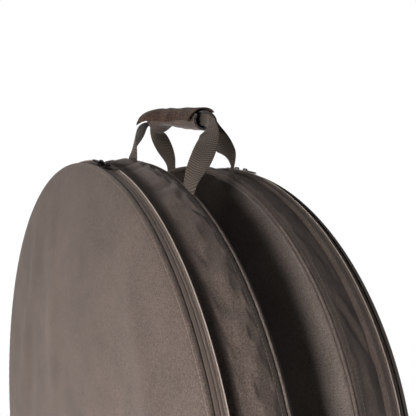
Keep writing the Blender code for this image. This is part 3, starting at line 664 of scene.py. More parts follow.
# Gusset: the band round the rim. knots are (across, height over the disc's radius) in mm, from beside the
# piping to the fold at the zip. creases are lines in (angle in degrees, across in mm), with height and width in mm
gusset = {
    "span": (-6, 54),
    "knots": {
        "left": ((-6, 0), (-5.6, 2.8), (-4.6, 4.5), (-2.6, 5.4), (0, 5.9), (5, 6.8), (10, 6.8), (16, 5.2), (23, 2.0),
                 (29, -2.2), (35, -5.6), (40, -6.4), (46, -6.3), (49.4, -4.8), (51, -0.6), (52.2, 3.3), (53.2, 3.4),
                 (54, 1.6)),
        "right": ((-6, 0), (-5.6, 2.8), (-4.6, 4.4), (-2.6, 5.0), (0, 5.2), (6, 5.2), (14, 3.6), (24, 1.2),
                  (32, -1.4), (38, -3.0), (40.6, -3.2), (41.4, 0.2), (44, 1.5), (48, 1.5), (50.4, 1.0), (51.4, 1.6),
                  (52.4, 3.0), (53.3, 3.0), (54, 1.6)),
    },
    # Share of the valley's depth at angles from the top, in degrees
    "valley": {"left": ((-180, 0.8), (-110, 1.0), (-40, 1.0), (-24, 0.35), (0, 0.25), (60, 0.6), (180, 0.8)),
               "right": ((-180, 0.8), (-60, 1.0), (-30, 0.8), (0, 0.5), (180, 0.8))},
    "creases": {
        "left": (((-30, 38), (-37, 28), -2.6, 6), ((-38, 36), (-44, 27), -3.4, 6), ((-45, 42), (-53, 36), -2.4, 8),
                 ((-30, 11), (-36, 17), 2.0, 8), ((-40, 20), (-47, 16), 2.2, 9), ((-48, 26), (-55, 22), 2.0, 9),
                 ((-33, 27), (-39, 20), -1.6, 5), ((-14, 44), (-27, 36), -1.2, 8), ((-20, 16), (-27, 24), 1.2, 9),
                 ((-57, 38), (-63, 26), -3.0, 6)),
        "right": (((-49, 7), (-59.5, 40), -3.4, 5), ((-47, 14), (-57, 42), 2.0, 8), ((-57, 10), (-68, 8), -2.8, 6),
                  ((-61, 24), (-70, 22), 2.2, 10), ((-35, 18), (-44, 30), -1.6, 7), ((-22, 14), (-33, 20), 1.2, 9)),
    },
    # Random creases where the picture shows none: angles from and to, and how many
    "scattered": (8, 285, 46),
    # Their ranges: shift and slant in degrees, start across and length in mm, height and width in mm
    "scatter": {"shift": (-3, 3), "start": (30, 42), "slant": (-7, 7), "length": (8, 24), "height": (1.2, 2.6),
                "width": (5, 10)},
    "hold": (-3, 49),
    "columns": 72,
    "backAcross": (54, 51, 48, 44, 40, 36, 32, 26, 18, 8, 0, -4.5),
    "thickness": 2.2 * mm,
    "lowest": -6.5,
    # Stitched rows and how far across they run
    "stitches": {"left": {"piping": 1.4, "zip": 45}, "right": {"piping": 1.4, "zip": 42.8}},
    "wander": 1.0 * mm,
    "wanderSize": 80 * mm,
    "wanderStretch": 1.5,
    "gather": 0.35 * mm,
    "gatherCount": 210,
    "gatherSpan": (-2, 43),
    "gatherFade": 5,
    "pad": {"start": 4 * mm, "end": 21 * mm, "thickness": 4 * mm, "corner": 1.5 * mm, "steps": 240, "fill": 0.5},
}

# The gusset's cloth between its seams, in mm across, with a coarse grid and Blender's own names for its settings
gussetCloth = {
    "rows": 240,
    "columns": 12,
    "from": 3,
    "to": 34,
    "frames": 20,
    "cap": 4 * mm,
    "share": {"left": 1.0, "right": 0.45},
    "settings": {"quality": 5, "mass": 0.3, "tension_stiffness": 15, "compression_stiffness": 8,
                 "shear_stiffness": 5, "bending_stiffness": 0.3, "use_pressure": True,
                 "uniform_pressure_force": 2.5, "shrink_min": -0.02, "vertex_group_mass": "seams"},
}


def simulateCloth(points, held, values):
    # Grid closed along its rows as a cloth a little larger than its place, held at its seams, under inside
    # pressure and without gravity. Returns how far each point has moved, at most the cap
    rows, columns = points.shape[:2]
    index = np.arange(rows * columns).reshape(rows, columns)
    after = np.roll(index, -1, 0)
    faces = np.stack([index[:, :-1], after[:, :-1], after[:, 1:], index[:, 1:]], -1).reshape(-1, 4)
    mesh = bpy.data.meshes.new("cloth")
    mesh.from_pydata(points.reshape(-1, 3), [], faces.tolist())
    cloth = addObject("cloth", mesh)
    cloth.vertex_groups.new(name="seams").add(index[:, held].ravel().tolist(), 1.0, "REPLACE")
    settings = cloth.modifiers.new("cloth", "CLOTH").settings
    for label, value in values["settings"].items():
        setattr(settings, label, value)
    settings.effector_weights.gravity = 0
    for step in range(1, values["frames"] + 1):
        bpy.context.scene.frame_set(step)
    moved = cloth.evaluated_get(bpy.context.evaluated_depsgraph_get()).data
    places = np.zeros(rows * columns * 3, np.float32)
    moved.vertices.foreach_get("co", places)
    bpy.data.objects.remove(cloth)
    bpy.context.scene.frame_set(1)
    away = places.reshape(points.shape) - points
    length = np.linalg.norm(away, axis=-1, keepdims=True)
    return away * np.minimum(1, values["cap"] / np.maximum(length, 1e-9))


def resample(grid, rowPlaces, columnPlaces):
    # Catmull-Rom curve through a coarse grid, closed along its rows, at places counted in its own steps
    for axis, places in ((0, rowPlaces), (1, columnPlaces)):
        count = grid.shape[axis]
        first = np.floor(places).astype(int)
        t = (places - first).reshape((-1, 1) if axis == 0 else (1, -1))
        before, here, after, last = [
            np.take(grid, (first + step) % count if axis == 0 else np.clip(first + step, 0, count - 1), axis)
            for step in (-1, 0, 1, 2)]
        grid = (here + (after - before) * t / 2 + (before - 2.5 * here + 2 * after - last / 2) * t ** 2
                + (1.5 * (here - after) + (last - before) / 2) * t ** 3)
    return grid


def drapeGusset(bag, height, across, values):
    # Rise in mm that the simulated cloth adds between the two seams
    start, end = values["from"], values["to"]
    step = height.shape[0] // values["rows"]
    places = np.linspace(start, end, values["columns"])
    picked = np.clip(np.searchsorted(across, places), 0, len(across) - 1)
    radius = layout["discRadius"] + height[::step][:, picked] * mm
    angle = ringAngles(values["rows"])[:, None]
    away = simulateCloth(bagPoints(bag, layout["gussetStart"] + places * mm, radius, angle), [0, -1], values)
    outward = np.stack([0 * angle, np.sin(angle + bag["roll"]), np.cos(angle + bag["roll"])], -1)
    rise = (away * outward).sum(-1) / mm * values["share"][bag["name"]]
    share = (across - start) / (end - start) * (values["columns"] - 1)
    inside = (across > start) & (across < end)
    return resample(rise, np.arange(len(height)) / step, np.clip(share, 0, values["columns"] - 1)) * inside


def creaseHeight(angle, across, creases):
    # Each crease: height exp(-(distance to its line / width)^2), fading out over both ends
    total = np.zeros(np.broadcast(angle, across).shape)
    reach = layout["discRadius"] / mm
    for start, end, height, width in creases:
        a, b = [(math.radians(place[0]) * reach, place[1]) for place in (start, end)]
        middle = (a[0] + b[0]) / 2
        x = (angle * reach - middle + math.pi * reach) % (fullTurn * reach) - math.pi * reach + middle
        share, away = lineDistance(x, across, a, b)
        total += height * bell(away, 0, width) * (0.55 + 0.45 * np.sin(math.pi * unit(share)))
    return total


def scatteredCreases(bag, values):
    # Slanting lines from the zip's side towards the piping
    chance = np.random.default_rng(bag["seed"] + 60)
    made = []
    for angle in np.linspace(*values["scattered"]):
        shift, start, slant, length = [chance.uniform(*values["scatter"][label])
                                       for label in ("shift", "start", "slant", "length")]
        height = chance.choice([-1, 1, -1]) * chance.uniform(*values["scatter"]["height"])
        angle = angle + shift
        made.append(((angle, start), (angle + slant, start - length), height,
                     chance.uniform(*values["scatter"]["width"])))
    return made


def gussetHeight(bag, angle, across, values):
    # Profile with its valley, then slow waves, creases and the fine gathers at both seams, all in mm
    name = bag["name"]
    height = curveThrough(values["knots"][name], across)
    turned = (np.degrees(angle) + 180) % 360 - 180
    height = np.where(height < 0, height * curveThrough(values["valley"][name], turned), height + 0 * angle)
    hold = unit(np.sin(math.pi * ramp(across, *values["hold"]))) ** 0.7
    radius = layout["discRadius"]
    field = np.stack(np.broadcast_arrays(np.sin(angle) * radius, np.cos(angle) * radius,
                                         across * values["wanderStretch"] * mm), -1)
    slow = values["wander"] / mm * waves(field, bag["seed"] + 40, values["wanderSize"], 7)
    low, high = values["gatherSpan"]
    gather = values["gather"] / mm * np.sin(angle * values["gatherCount"] + 4 * np.sin(angle * 5))
    gather = gather * np.exp(-np.maximum(np.minimum(across - low, high - across), 0) / values["gatherFade"])
    creases = creaseHeight(angle, across, list(values["creases"][name]) + scatteredCreases(bag, values))
    height = height + hold * (slow + creases) + gather * (across < high) * (across > low)
    return height + drapeGusset(bag, height, across, gussetCloth)


def makeGusset(bag, values):
    name = bag["name"]
    start, end = values["span"]
    across, last = np.linspace(start, end, values["columns"]), values["columns"] - 1
    angle = ringAngles()[:, None]
    radius = layout["discRadius"] + np.maximum(gussetHeight(bag, angle, across, values), values["lowest"]) * mm
    backAcross = np.array(values["backAcross"])
    places = np.clip(np.round((backAcross - start) / (end - start) * last).astype(int), 0, last)
    under = np.minimum(radius[:, places], layout["discRadius"]) - values["thickness"]
    along = layout["gussetStart"] + np.concatenate([across, backAcross]) * mm
    points = bagPoints(bag, along, np.concatenate([radius, under], 1), angle)
    band = gridMesh(f"{name}_gusset_band", points, "gusset", [f"{name}_gusset"], "pair", ring=True)
    # Cut width: the cloth's way over its own profile, turned edges included
    cut = np.hypot(*np.diff(np.array(values["knots"][name]), axis=0).T).sum() * mm
    for row, place in values["stitches"][name].items():
        level = np.array([np.interp(place, across, line) for line in radius])
        made = stitchRow(f"{name}_stitches_{row}", bag, layout["gussetStart"] + place * mm, angle[:, 0], level)
        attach(made, "pair")
    pad = values["pad"]
    top = layout["discRadius"] - values["thickness"] - layout["seatGap"]
    outline = roundedBox(layout["gussetStart"] + pad["start"], layout["gussetStart"] + pad["end"],
                         top - pad["thickness"], top, pad["corner"])
    made = ringPiece(f"{name}_gusset_pad", bag, outline, "lining", [f"{name}_gusset_padding"], steps=pad["steps"])


# Piping: two cords side by side on the edge towards the other bag, with the seam between them
piping = {
    "cordRadius": 1.8 * mm,
    # (along, over the disc's radius) of each cord's middle; first and last turn of its outline, and its points
    "cords": (((-5.9 * mm, 0.6 * mm), (215, 62, 12)), ((-2.5 * mm, 2.9 * mm), (168, -35, 14))),
    "groove": (-3.9 * mm, 1.2 * mm),
    "root": -2.4 * mm,
    "rootSpan": (-5.6 * mm, 0.2 * mm),
}


def pipingOutline(values):
    parts = []
    for middle, turns in values["cords"]:
        turn = np.radians(np.linspace(*turns))
        parts.append(np.array(middle) + values["cordRadius"] * np.stack([np.cos(turn), np.sin(turn)], -1))
    start, end = [[(along, values["root"])] for along in values["rootSpan"]]
    return np.concatenate([start, parts[0], [values["groove"]], parts[1], end]) + [0, layout["discRadius"]]


# Zip: tapes, coils, the lip over them with its painted highlight, end tabs and the strip below
zipper = {
    "tapeTop": 374.2 * mm,
    "tapeThickness": 1.3 * mm,
    "tapeCorner": 0.45 * mm,
    "tapeSteps": 320,
    "lidTape": (-0.9 * mm, -1.4 * mm),
    "coilBeside": 2.3 * mm,
    "coilWidth": 3.1 * mm,
    "coilHeight": 3 * mm,
    "coilPitch": 2.2 * mm,
    "coilWire": 0.42 * mm,
    "pointsPerTurn": 12,
    "wireSides": 5,
    "lipAcross": 52.9 * mm,
    "lipHeight": 3.35 * mm,
    "lipRadius": 0.65 * mm,
    "lipSides": 8,
    "tabSteps": 12,
    "tabCorner": 0.5 * mm,
    "stripSteps": 220,
    "stripDepth": 2.2 * mm,
    "stripCorner": 0.8 * mm,
}


def makeCoil(bag, row, body, middle, offset, values):
    # Helix along the rim: each turn is a rounded loop of the coil's width and height, round a wire of wireSides
    half, wire = layout["zipHalfAngle"], values["coilWire"]
    turns = int(2 * half * layout["discRadius"] / values["coilPitch"])
    t = np.arange(turns * values["pointsPerTurn"]) / values["pointsPerTurn"]
    angle = -half + (t + offset) / turns * 2 * half
    c, s = np.cos(fullTurn * t), np.sin(fullTurn * t)
    top = values["tapeTop"] - values["tapeThickness"] - layout["seatGap"] - values["coilHeight"] / 2
    across = np.sign(c) * np.abs(c) ** 0.7 * (values["coilWidth"] / 2 - wire)
    up = np.sign(s) * np.abs(s) ** 0.8 * (values["coilHeight"] / 2 - wire)
    centre = bagPoints(bag, middle + across, top + up, angle)
    run = direct(np.gradient(centre, axis=0))
    rim = direct(bagPoints(bag, middle, top, angle + 1e-4) - bagPoints(bag, middle, top, angle))
    side = direct(np.cross(run, rim))
    third = np.cross(run, side)
    around = ringAngles(values["wireSides"])
    points = centre[:, None] + wire * (side[:, None] * np.cos(around)[None, :, None]
                                       + third[:, None] * np.sin(around)[None, :, None])
    gridMesh(f"{bag['name']}_teeth_{row}", points, "coil", [f"{bag['name']}_zip_coil_{row}"], body)


def makeZip(bag, values):
    name, lid = bag["name"], f"{bag['name']}_lid"
    half, radius = layout["zipHalfAngle"], layout["discRadius"]
    angles = np.linspace(-half, half, values["tapeSteps"])
    top, low = values["tapeTop"], values["tapeTop"] - values["tapeThickness"]
    outside = layout["fixedTapeStart"], layout["lidTapeEnd"]
    inward, outward = values["lidTape"]
    for row, body, start, end in (("fixed", "pair", layout["fixedTapeStart"], layout["zipStart"]),
                                  ("lid", lid, layout["lidTapeStart"] + inward, layout["lidTapeEnd"] + outward)):
        outline = roundedBox(start, end, low, top, values["tapeCorner"])
        ringPiece(f"{name}_tape_{row}", bag, outline, "tape", [f"{name}_zip_tape_{row}"], body, angles)
    beside, wide = values["coilBeside"], values["coilWidth"] / 2
    makeCoil(bag, "fixed", "pair", layout["zipStart"] - beside + wide, 0.0, values)
    makeCoil(bag, "lid", lid, layout["lidTapeStart"] + beside - wide, 0.5, values)
    # Lip: a thin cord on the fold's crest whose pale colour is a painted highlight
    turn = ringAngles(values["lipSides"])
    lip = np.stack([layout["gussetStart"] + values["lipAcross"] + values["lipRadius"] * np.sin(turn),
                    radius + values["lipHeight"] + values["lipRadius"] * np.cos(turn)], -1)
    ringPiece(f"{name}_zip_lip_highlight", bag, lip, "lip", angles=angles)
    gap = layout["seatGap"] / radius
    tabEnd = half + layout["endTabAngle"]
    outline = roundedBox(*outside, low, radius, values["tabCorner"])
    for end, sign in (("rear", 1), ("front", -1)):
        angles = np.sort(sign * np.linspace(half + gap, tabEnd, values["tabSteps"]))
        ringPiece(f"{name}_tab_{end}", bag, outline, "webbing", [f"{name}_zip_end_tab_{end}"], angles=angles)
    outline = roundedBox(*outside, radius - values["stripDepth"], radius, values["stripCorner"])
    angles = np.linspace(tabEnd + gap, fullTurn - (tabEnd + gap), values["stripSteps"])
    ringPiece(f"{name}_strip", bag, outline, "shell", [f"{name}_seam_strip"], angles=angles)


for bag in bags.values():
    makeGusset(bag, gusset)
    ringPiece(f"{bag['name']}_piping", bag, pipingOutline(piping), "piping", [f"{bag['name']}_inner_piping"])
    makeZip(bag, zipper)
print("gussets, piping and zips made")


# Handles: the same run as in the CAD model, from each foot to the wrap
handle = {
    "width": 27 * mm,
    "thickness": 1.6 * mm,
    "gatheredWidth": 17 * mm,
    "gatheredThickness": 2.8 * mm,
    "spacing": 1.6 * mm,
    "gatherShare": 0.55,
    "root": 5 * mm,
    "halfAngles": {"left": math.radians(12.1), "right": math.radians(13.8)},
    "lead": 9 * mm,
    "seat": 378.1 * mm,
    # rise at the foot, then reach, spread and drop beyond the wrap's end, in webbing widths
    "legs": {("left", "rear"): (1.4, 0.8, 0.2, 0.9), ("left", "front"): (0.6, 1.3, 0.1, 0.2),
             ("right", "rear"): (0.8, 1.3, 0.3, 0.2), ("right", "front"): (0.5, 0.5, -0.3, 0.0)},
    "turns": {("left", "rear"): -20, ("left", "front"): 50, ("right", "rear"): 50, ("right", "front"): 35},
    "footTurns": {("right", "front"): -35},
    "footTurnShare": 0.45,
    "steps": 90,
    "sides": 28,
    "cup": 0.8 * mm,
    "cupOver": 10 * mm,
    # Fold across a strap: where along its leg, how far its line slants over the width, height of the step,
    # its width and how far it fades
    "folds": {("left", "front"): (0.80, 0.14, 3.5 * mm, 0.012, 0.15)},
    "innerSteps": 24,
    "innerRise": 2.5 * mm,
    "innerDraw": 7 * mm,
    "areaShare": 0.9,
}
wrap = {
    "length": 142 * mm,
    "halfWidth": 16 * mm,
    "halfHeight": 12.5 * mm,
    "wall": 1.8 * mm,
    "lining": 0.8 * mm,
    "liningEnd": 0.5 * mm,
    "middle": (0.0, -68 * mm, 803 * mm),
    "tilt": math.radians(7.5),
    # Degrees round the wrap
    "slit": (112, 140),
    "hem": (52, 60),
    "flap": (61, 186),
    "flapFold": (61.5, 70),
    "strip": (146, 178),
    "stripThickness": 0.8 * mm,
    "stripMargin": 6 * mm,
    "flapThickness": 2 * mm,
    "overhang": 14 * mm,
    # Rows and columns of each sheet, how many of them its edges take to round off, and the square of the
    # least thickness there
    "grids": {"sleeve": (90, 80), "lining": (40, 60), "strip": (40, 16), "flap": (90, 60), "hem": (60, 10)},
    "edgeCells": 2.5,
    "thinnest": 0.05,
    "fill": {"sleeve": 0.4, "flap": 0.3},
}
wrapAcross = np.array([1.0, 0.0, 0.0])
wrapAlong = np.array([0.0, math.cos(wrap["tilt"]), math.sin(wrap["tilt"])])
wrapUp = np.array([0.0, -math.sin(wrap["tilt"]), math.cos(wrap["tilt"])])


def hump(share):
    # Smooth bump from 0 at both ends to 1 halfway
    return np.where(share < 1, (4 * share * (1 - share)) ** 2, 0.0)


def handleLeg(bag, end, values):
    # Cubic curve foot, foot + rise, swing, gate: places, facing directions, widths and thicknesses
    sign, side, key = 1 if end == "rear" else -1, bag["side"], (bag["name"], end)
    full, gathered = [(values[wide], values[thick]) for wide, thick in
                      (("width", "thickness"), ("gatheredWidth", "gatheredThickness"))]
    inset = wrap["wall"] + layout["seatGap"] + wrap["lining"]
    wide, tall = wrap["halfWidth"] - inset, wrap["halfHeight"] - inset
    beside = (values["spacing"] + gathered[1]) / 2
    corner = (beside + gathered[1] / 2) / wide
    level = tall * math.sqrt(1 - corner ** 2) - layout["seatGap"] - gathered[0] / 2
    angle = sign * values["halfAngles"][bag["name"]]
    axis = bagPoints(bag, 0.0, 0.0, angle)
    foot = bagPoints(bag, 0.0, values["seat"], angle)
    axis[2] = layout["discHeight"]
    out = direct(foot - axis)
    seat = np.array(wrap["middle"]) + wrapAcross * side * beside + wrapUp * level
    gate = seat + wrapAlong * sign * (wrap["length"] / 2 + values["lead"])
    rise, reach, spread, drop = (share * values["width"] for share in values["legs"][key])
    swing = gate + wrapAlong * sign * reach + wrapAcross * side * spread - wrapUp * drop
    root = foot + out * values["root"]
    share = np.linspace(0, 1, values["steps"] + 1)
    rest = 1 - share
    weights = np.stack([rest ** 3, 3 * share * rest ** 2, 3 * share ** 2 * rest, share ** 3], -1)
    places = weights @ np.array([root, root + out * rise, swing, gate])
    turn = math.radians(values["turns"][key]) * hump(share)
    turn = turn + math.radians(values["footTurns"].get(key, 0)) * hump(share / values["footTurnShare"])
    facing = -wrapAcross * np.cos(turn)[:, None] - np.array([0.0, 1.0, 0.0]) * np.sin(turn)[:, None]
    eased = ease(unit(rest / values["gatherShare"]))
    width, thickness = [np.concatenate([[whole] * 2, small + (whole - small) * eased])
                        for whole, small in zip(full, gathered)]
    stub = np.stack([foot, foot + out * values["root"] / 2])
    return np.concatenate([stub, places]), np.concatenate([np.repeat(facing[:1], 2, 0), facing]), width, thickness


def makeHandle(bag, values):
    rear, front = handleLeg(bag, "rear", values), handleLeg(bag, "front", values)
    # Between the wrap's ends the strap lies gathered: narrower and higher halfway
    share = np.linspace(0, 1, values["innerSteps"])[:, None]
    drawn = np.sin(math.pi * share)
    inner = (rear[0][-1] * (1 - share) + front[0][-1] * share + wrapUp * values["innerRise"] * drawn,
             rear[1][-1] * (1 - share) + front[1][-1] * share,
             (values["gatheredWidth"] - values["innerDraw"] * drawn)[:, 0],
             values["gatheredThickness"] + 0 * share[:, 0])
    places, facing, width, thickness = (np.concatenate([a, middle[1:-1], b[::-1]])
                                        for a, middle, b in zip(rear, inner, front))
    run = direct(np.gradient(places, axis=0))
    wide = direct(np.cross(facing, run))
    lift = np.cross(run, wide)
    # Cross-section: flat with rounded edges, slightly cupped
    turn = ringAngles(values["sides"])
    a = np.sign(np.cos(turn)) * np.abs(np.cos(turn)) ** 0.45
    t = np.sign(np.sin(turn)) * np.abs(np.sin(turn)) ** 0.6
    across = width[:, None] / 2 * a
    spread = ramp(width[:, None], values["gatheredWidth"], values["cupOver"])
    up = thickness[:, None] / 2 * t + values["cup"] * (1 - a ** 2) * spread
    for (side, end), (middle, slant, height, soft, fade) in values["folds"].items():
        if side == bag["name"]:
            leg = np.linspace(0, 1, len(places))[::1 if end == "rear" else -1] * len(places) / (values["steps"] + 1)
            share = (leg[:, None] - middle - slant * a) / soft
            up = up + height / (1 + np.exp(-share)) * np.exp(-np.maximum(share, 0) * soft / fade)
    points = places[:, None] + wide[:, None] * across[..., None] + lift[:, None] * up[..., None]
    length = lengths(points, 0)
    uv = np.stack(np.broadcast_arrays(length[:-1, None], across), -1)
    strap = gridMesh(f"{bag['name']}_webbing", points, "webbing", [f"{bag['name']}_handle_webbing"], "pair", uv=uv)


for bag in bags.values():
    makeHandle(bag, handle)
print("handles made")


# Wrap round both handles
sleeveShape = {
    # share of the length from the front end: depth of the underside, width, both as shares of the plain tube
    "under": ((0, 1.02), (0.15, 0.98), (0.4, 0.86), (0.6, 0.66), (0.7, 0.58), (0.8, 0.85), (0.88, 1.45),
              (0.94, 1.5), (1, 1.2)),
    "wide": ((0, 1.10), (0.2, 1.0), (0.5, 0.96), (0.7, 0.9), (0.88, 1.08), (1, 0.98)),
    "ripple": 0.35 * mm,
    "rippleTurns": (6, 2),
}


def tubePoints(level, angle, offset):
    # Place on or off the sleeve: ellipse in the wrap's own axes, its underside and width changing along it
    share = unit(level / wrap["length"] + 0.5)
    under = curveThrough(sleeveShape["under"], share)
    wide = curveThrough(sleeveShape["wide"], share)
    c, s = np.cos(angle), np.sin(angle)
    tall = np.where(s < 0, 1 + (under - 1) * unit(-s) ** 0.8, 1.0)
    across = (wrap["halfWidth"] * wide + offset) * c
    up = (wrap["halfHeight"] * tall + offset) * s
    return (np.array(wrap["middle"]) + wrapAcross * across[..., None] + wrapAlong * level[..., None]
            + wrapUp * up[..., None])


def wrapSheet(name, node, body, span, ends, inside, outside, look, grid, shape=None):
    # Curved sheet round the wrap with rounded edges; shape(level share, angle share) gives extra (level, offset,
    # turn). span is in degrees and ends along the wrap
    rows, columns = wrap["grids"][grid]
    u = np.linspace(0, 1, rows)[:, None]
    side = np.linspace(0, 1, columns)
    v = np.concatenate([side, side[::-1]])[None, :]
    upper = np.concatenate([np.ones(columns), np.zeros(columns)])[None, :]
    start, end = span
    level = ends[0] + (ends[1] - ends[0]) * u + 0 * v
    angle = math.radians(start) + math.radians(end - start) * v + 0 * u
    extraLevel, extra, turn = shape(u, v) if shape else (0, 0, 0)
    cells = np.minimum(v, 1 - v) * columns, np.minimum(u, 1 - u) * rows
    thin = math.prod(rounding(part / wrap["edgeCells"], wrap["thinnest"]) for part in cells)
    offset = (inside + outside) / 2 + (outside - inside) / 2 * (2 * upper - 1) * thin + extra
    return gridMesh(name, tubePoints(level + extraLevel, angle + turn, offset), look, [node], body)


flapShape = {
    "rearCut": 30 * mm,
    "tipDrop": math.radians(14),
    "tipFlare": 7 * mm,
    "edgeWave": 1.3 * mm,
    "edgeLift": 3.2 * mm,
    "edgeTurn": math.radians(4),
    "seamDip": 0.5 * mm,
    "ripple": 0.7 * mm,
    # Lowest that the free edge's waves and the ripples go
    "deepest": (-0.2 * mm, -0.45 * mm),
    # Where each effect starts and over how much it rises, as shares of the length (rear) or of the way round
    "rear": (0.55, 0.45),
    "slant": (0.35, 0.65),
    "free": (0.6, 0.4),
    "flare": (0.45, 0.55),
    # Waves along the length and where they start, and the ripples' counts along and round
    "waveTurns": (2.3, 0.15),
    "liftTurns": (1.2, 0.1),
    "edgeTurns": (1.7, 0.4),
    "rippleTurns": (3.1, 1.2),
    # Middle and half width of the seams
    "edgeSeam": (0.92, 0.022),
    "endSeams": ((0.045, 0.015), (0.955, 0.015)),
}


def flapRelief(u, v, values=flapShape):
    # Rear edge slants back to the free corner, which hangs lower; the free edge waves; soft ripples over the top
    rear, free = ramp(u, *values["rear"]) ** 1.3, ramp(v, *values["free"]) ** 2
    level = -values["rearCut"] * rear * (1 - ramp(v, *values["slant"]))
    wave, lift, edge = [u * count + first for count, first in
                        (values["waveTurns"], values["liftTurns"], values["edgeTurns"])]
    wave = values["edgeWave"] * free * sineOf(wave)
    lift = values["edgeLift"] * free * (0.5 + 0.5 * np.cos(fullTurn * lift))
    flare = values["tipFlare"] * rear * ramp(v, *values["flare"]) ** 1.5
    along, around = values["rippleTurns"]
    ripple = values["ripple"] * sineOf(u * along + v * around) * np.sin(math.pi * v) * np.sin(math.pi * u)
    seam = sum((bell(u, *place) for place in values["endSeams"]), bell(v, *values["edgeSeam"]))
    ripple = ripple - values["seamDip"] * unit(seam)
    turn = values["tipDrop"] * rear * free + values["edgeTurn"] * free * sineOf(edge)
    waveDeepest, rippleDeepest = values["deepest"]
    return level, np.maximum(wave, waveDeepest) + lift + flare + np.maximum(ripple, rippleDeepest), turn


def sleeveRelief(u, v):
    # Slanting ripples, in four half waves on the way round
    along, around = sleeveShape["rippleTurns"]
    return 0, sleeveShape["ripple"] * sineOf(u * along + around * v) * sineOf(v * around), 0


def cutSize(span, ends, offset):
    # Flat size of a strip round the wrap: way over the ellipse in its middle, length along the wrap
    angles = np.radians(np.linspace(*span, 80))
    line = tubePoints(0 * angles, angles, offset)
    return float(np.linalg.norm(np.diff(line, axis=0), axis=1).sum()), ends[1] - ends[0]


def makeWrap(values):
    half, gap, strip = values["length"] / 2, layout["seatGap"], values["stripThickness"]
    around = values["slit"][1], values["slit"][0] + 360
    sleeve = wrapSheet("wrap_sleeve_cloth", "wrap_sleeve", "pair", around, (-half, half), -values["wall"], 0.0,
                       "sleeve", "sleeve", sleeveRelief)
    skin = -values["wall"] - gap
    ends = -half - values["liningEnd"], half + values["liningEnd"]
    lining = wrapSheet("wrap_lining_cloth", "wrap_lining", "pair", around, ends, skin - values["lining"], skin,
                       "loops", "lining")
    cutSize(around, ends, skin - values["lining"] / 2)
    ends = -half + values["stripMargin"], half - values["stripMargin"]
    wrapSheet("wrap_loops", "wrap_loop_strip", "pair", values["strip"], ends, gap, gap + strip, "loops", "strip")
    wrapSheet("wrap_hooks", "wrap_hook_strip", "flap", values["strip"], ends, 2 * gap + strip, 2 * gap + 2 * strip,
              "hooks", "strip")
    low = 3 * gap + 2 * strip
    top = low + values["flapThickness"]
    flap = wrapSheet("wrap_flap_cloth", "wrap_flap", None, values["flap"], (-half, half + values["overhang"]), low,
                     top, "wrap", "flap", flapRelief)
    # Points at the flap's root on the hem and where the cloth would turn, within the first few degrees; they are not
    # used, and only the flap's transform is baked
    fold = [tubePoints(np.zeros(1), np.radians([angle]), low)[0].tolist() for angle in values["flapFold"]]
    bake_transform(flap)
    wrapSheet("wrap_hem_cloth", "wrap_hem", "pair", values["hem"], (-half, half), gap, top - gap, "wrap", "hem")


makeWrap(wrap)
print("wrap made")


# CAD nodes that stay as they are, with the finished materials
for nodeName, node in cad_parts.items():
    if not node.hide_render:
        look = "metal" if "slider" in nodeName or "pull" in nodeName else "guard"
        node.data.materials.clear()
        node.data.materials.append(looks[look])

# Floor, background and light. Lamps: place, aim, size, power, spread in degrees and colour
lighting = {
    "world": 0.02,
    "floorRadius": 1.15,
    "floorSides": 96,
    "floorDrop": 0.5 * mm,
    "fadeFrom": 0.55,
    "floorGlow": 0.55,
    "floorColour": (0.86, 0.86, 0.86),
    "floorRoughness": 0.9,
    "lamps": {
        "key": ((-1.3, -1.12, 0.55), (-0.1, -0.2, 0.02), 0.35, 5.7, 85, (1.0, 0.945, 0.91)),
        "left": ((-1.75, -0.5, 0.75), (-0.1, -0.1, 0.2), 0.4, 4.5, 110, (1.0, 0.945, 0.91)),
        "side": ((-1.5, 1.2, 0.4), (0.0, 0.0, 0.3), 0.6, 4, 120, (1.0, 0.86, 0.74)),
        "back": ((1.6, 1.0, 0.6), (0.0, 0.0, 0.3), 0.6, 14, 150, (1.0, 0.97, 0.95)),
        "top": ((-0.3, -0.2, 2.2), (0.0, 0.0, 0.5), 0.8, 2, 180, (1.0, 0.96, 0.94)),
    },
}


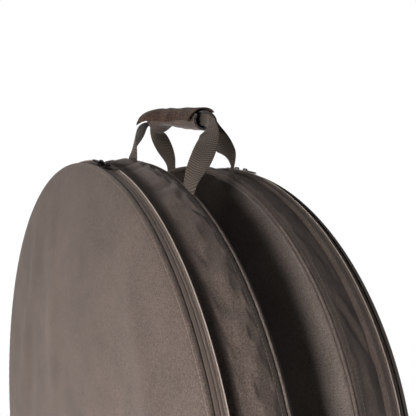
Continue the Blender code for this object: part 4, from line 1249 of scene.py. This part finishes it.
def addLamp(name, place, aim, size, power, spread, colour):
    data = bpy.data.lights.new(name, "AREA")
    data.energy = power
    data.size = size
    data.color = colour
    data.spread = math.radians(spread)
    addObject(name, data, place, Vector(aim) - Vector(place))


def seenRays(tree):
    # 1 for rays that show the background, straight or in a gloss, 0 for rays that light the bag
    path = addNode(tree, "ShaderNodeLightPath").outputs
    return calc(tree, "MAXIMUM", calc(tree, "MAXIMUM", path["Is Camera Ray"], path["Is Glossy Ray"]),
                path["Is Transmission Ray"])


def floorPaint(values):
    # White to the eye, and fading out towards the edge
    paint = bpy.data.materials.new("floorPaint")
    paint.use_nodes = True
    tree = paint.node_tree
    place = addNode(tree, "ShaderNodeTexCoord").outputs["Object"]
    away = addNode(tree, "ShaderNodeVectorMath", {"operation": "LENGTH"}, Vector=place).outputs["Value"]
    fade = addNode(tree, "ShaderNodeMapRange", {"interpolation_type": "SMOOTHSTEP"}, Value=away,
                   From_Min=values["fadeFrom"], From_Max=values["floorRadius"], To_Min=1.0, To_Max=0.0).outputs[0]
    glow = calc(tree, "MULTIPLY", seenRays(tree), values["floorGlow"])
    for label, value in {"Base Color": values["floorColour"], "Roughness": values["floorRoughness"], "Alpha": fade,
                         "Emission Color": greyColour(tree, glow), "Emission Strength": 1.0}.items():
        connect(tree, tree.nodes["Principled BSDF"].inputs[label], value)
    return paint


def addStage(values):
    world = bpy.data.worlds.new("surroundings")
    bpy.context.scene.world = world
    world.use_nodes = True
    tree = world.node_tree
    background = tree.nodes["Background"].inputs
    connect(tree, background[0], (1, 1, 1))
    connect(tree, background[1],
            calc(tree, "MULTIPLY_ADD", seenRays(tree), 1.0 - values["world"], values["world"]))
    work = bmesh.new()
    bmesh.ops.create_circle(work, cap_ends=True, segments=values["floorSides"], radius=values["floorRadius"])
    bmesh.ops.translate(work, verts=work.verts, vec=(0, 0, -values["floorDrop"]))
    mesh = bpy.data.meshes.new("floor")
    work.to_mesh(mesh)
    work.free()
    mesh.materials.append(floorPaint(values))
    addObject("floor", mesh)
    for name, lamp in values["lamps"].items():
        addLamp(name, *lamp)


addStage(lighting)
print("stage made")
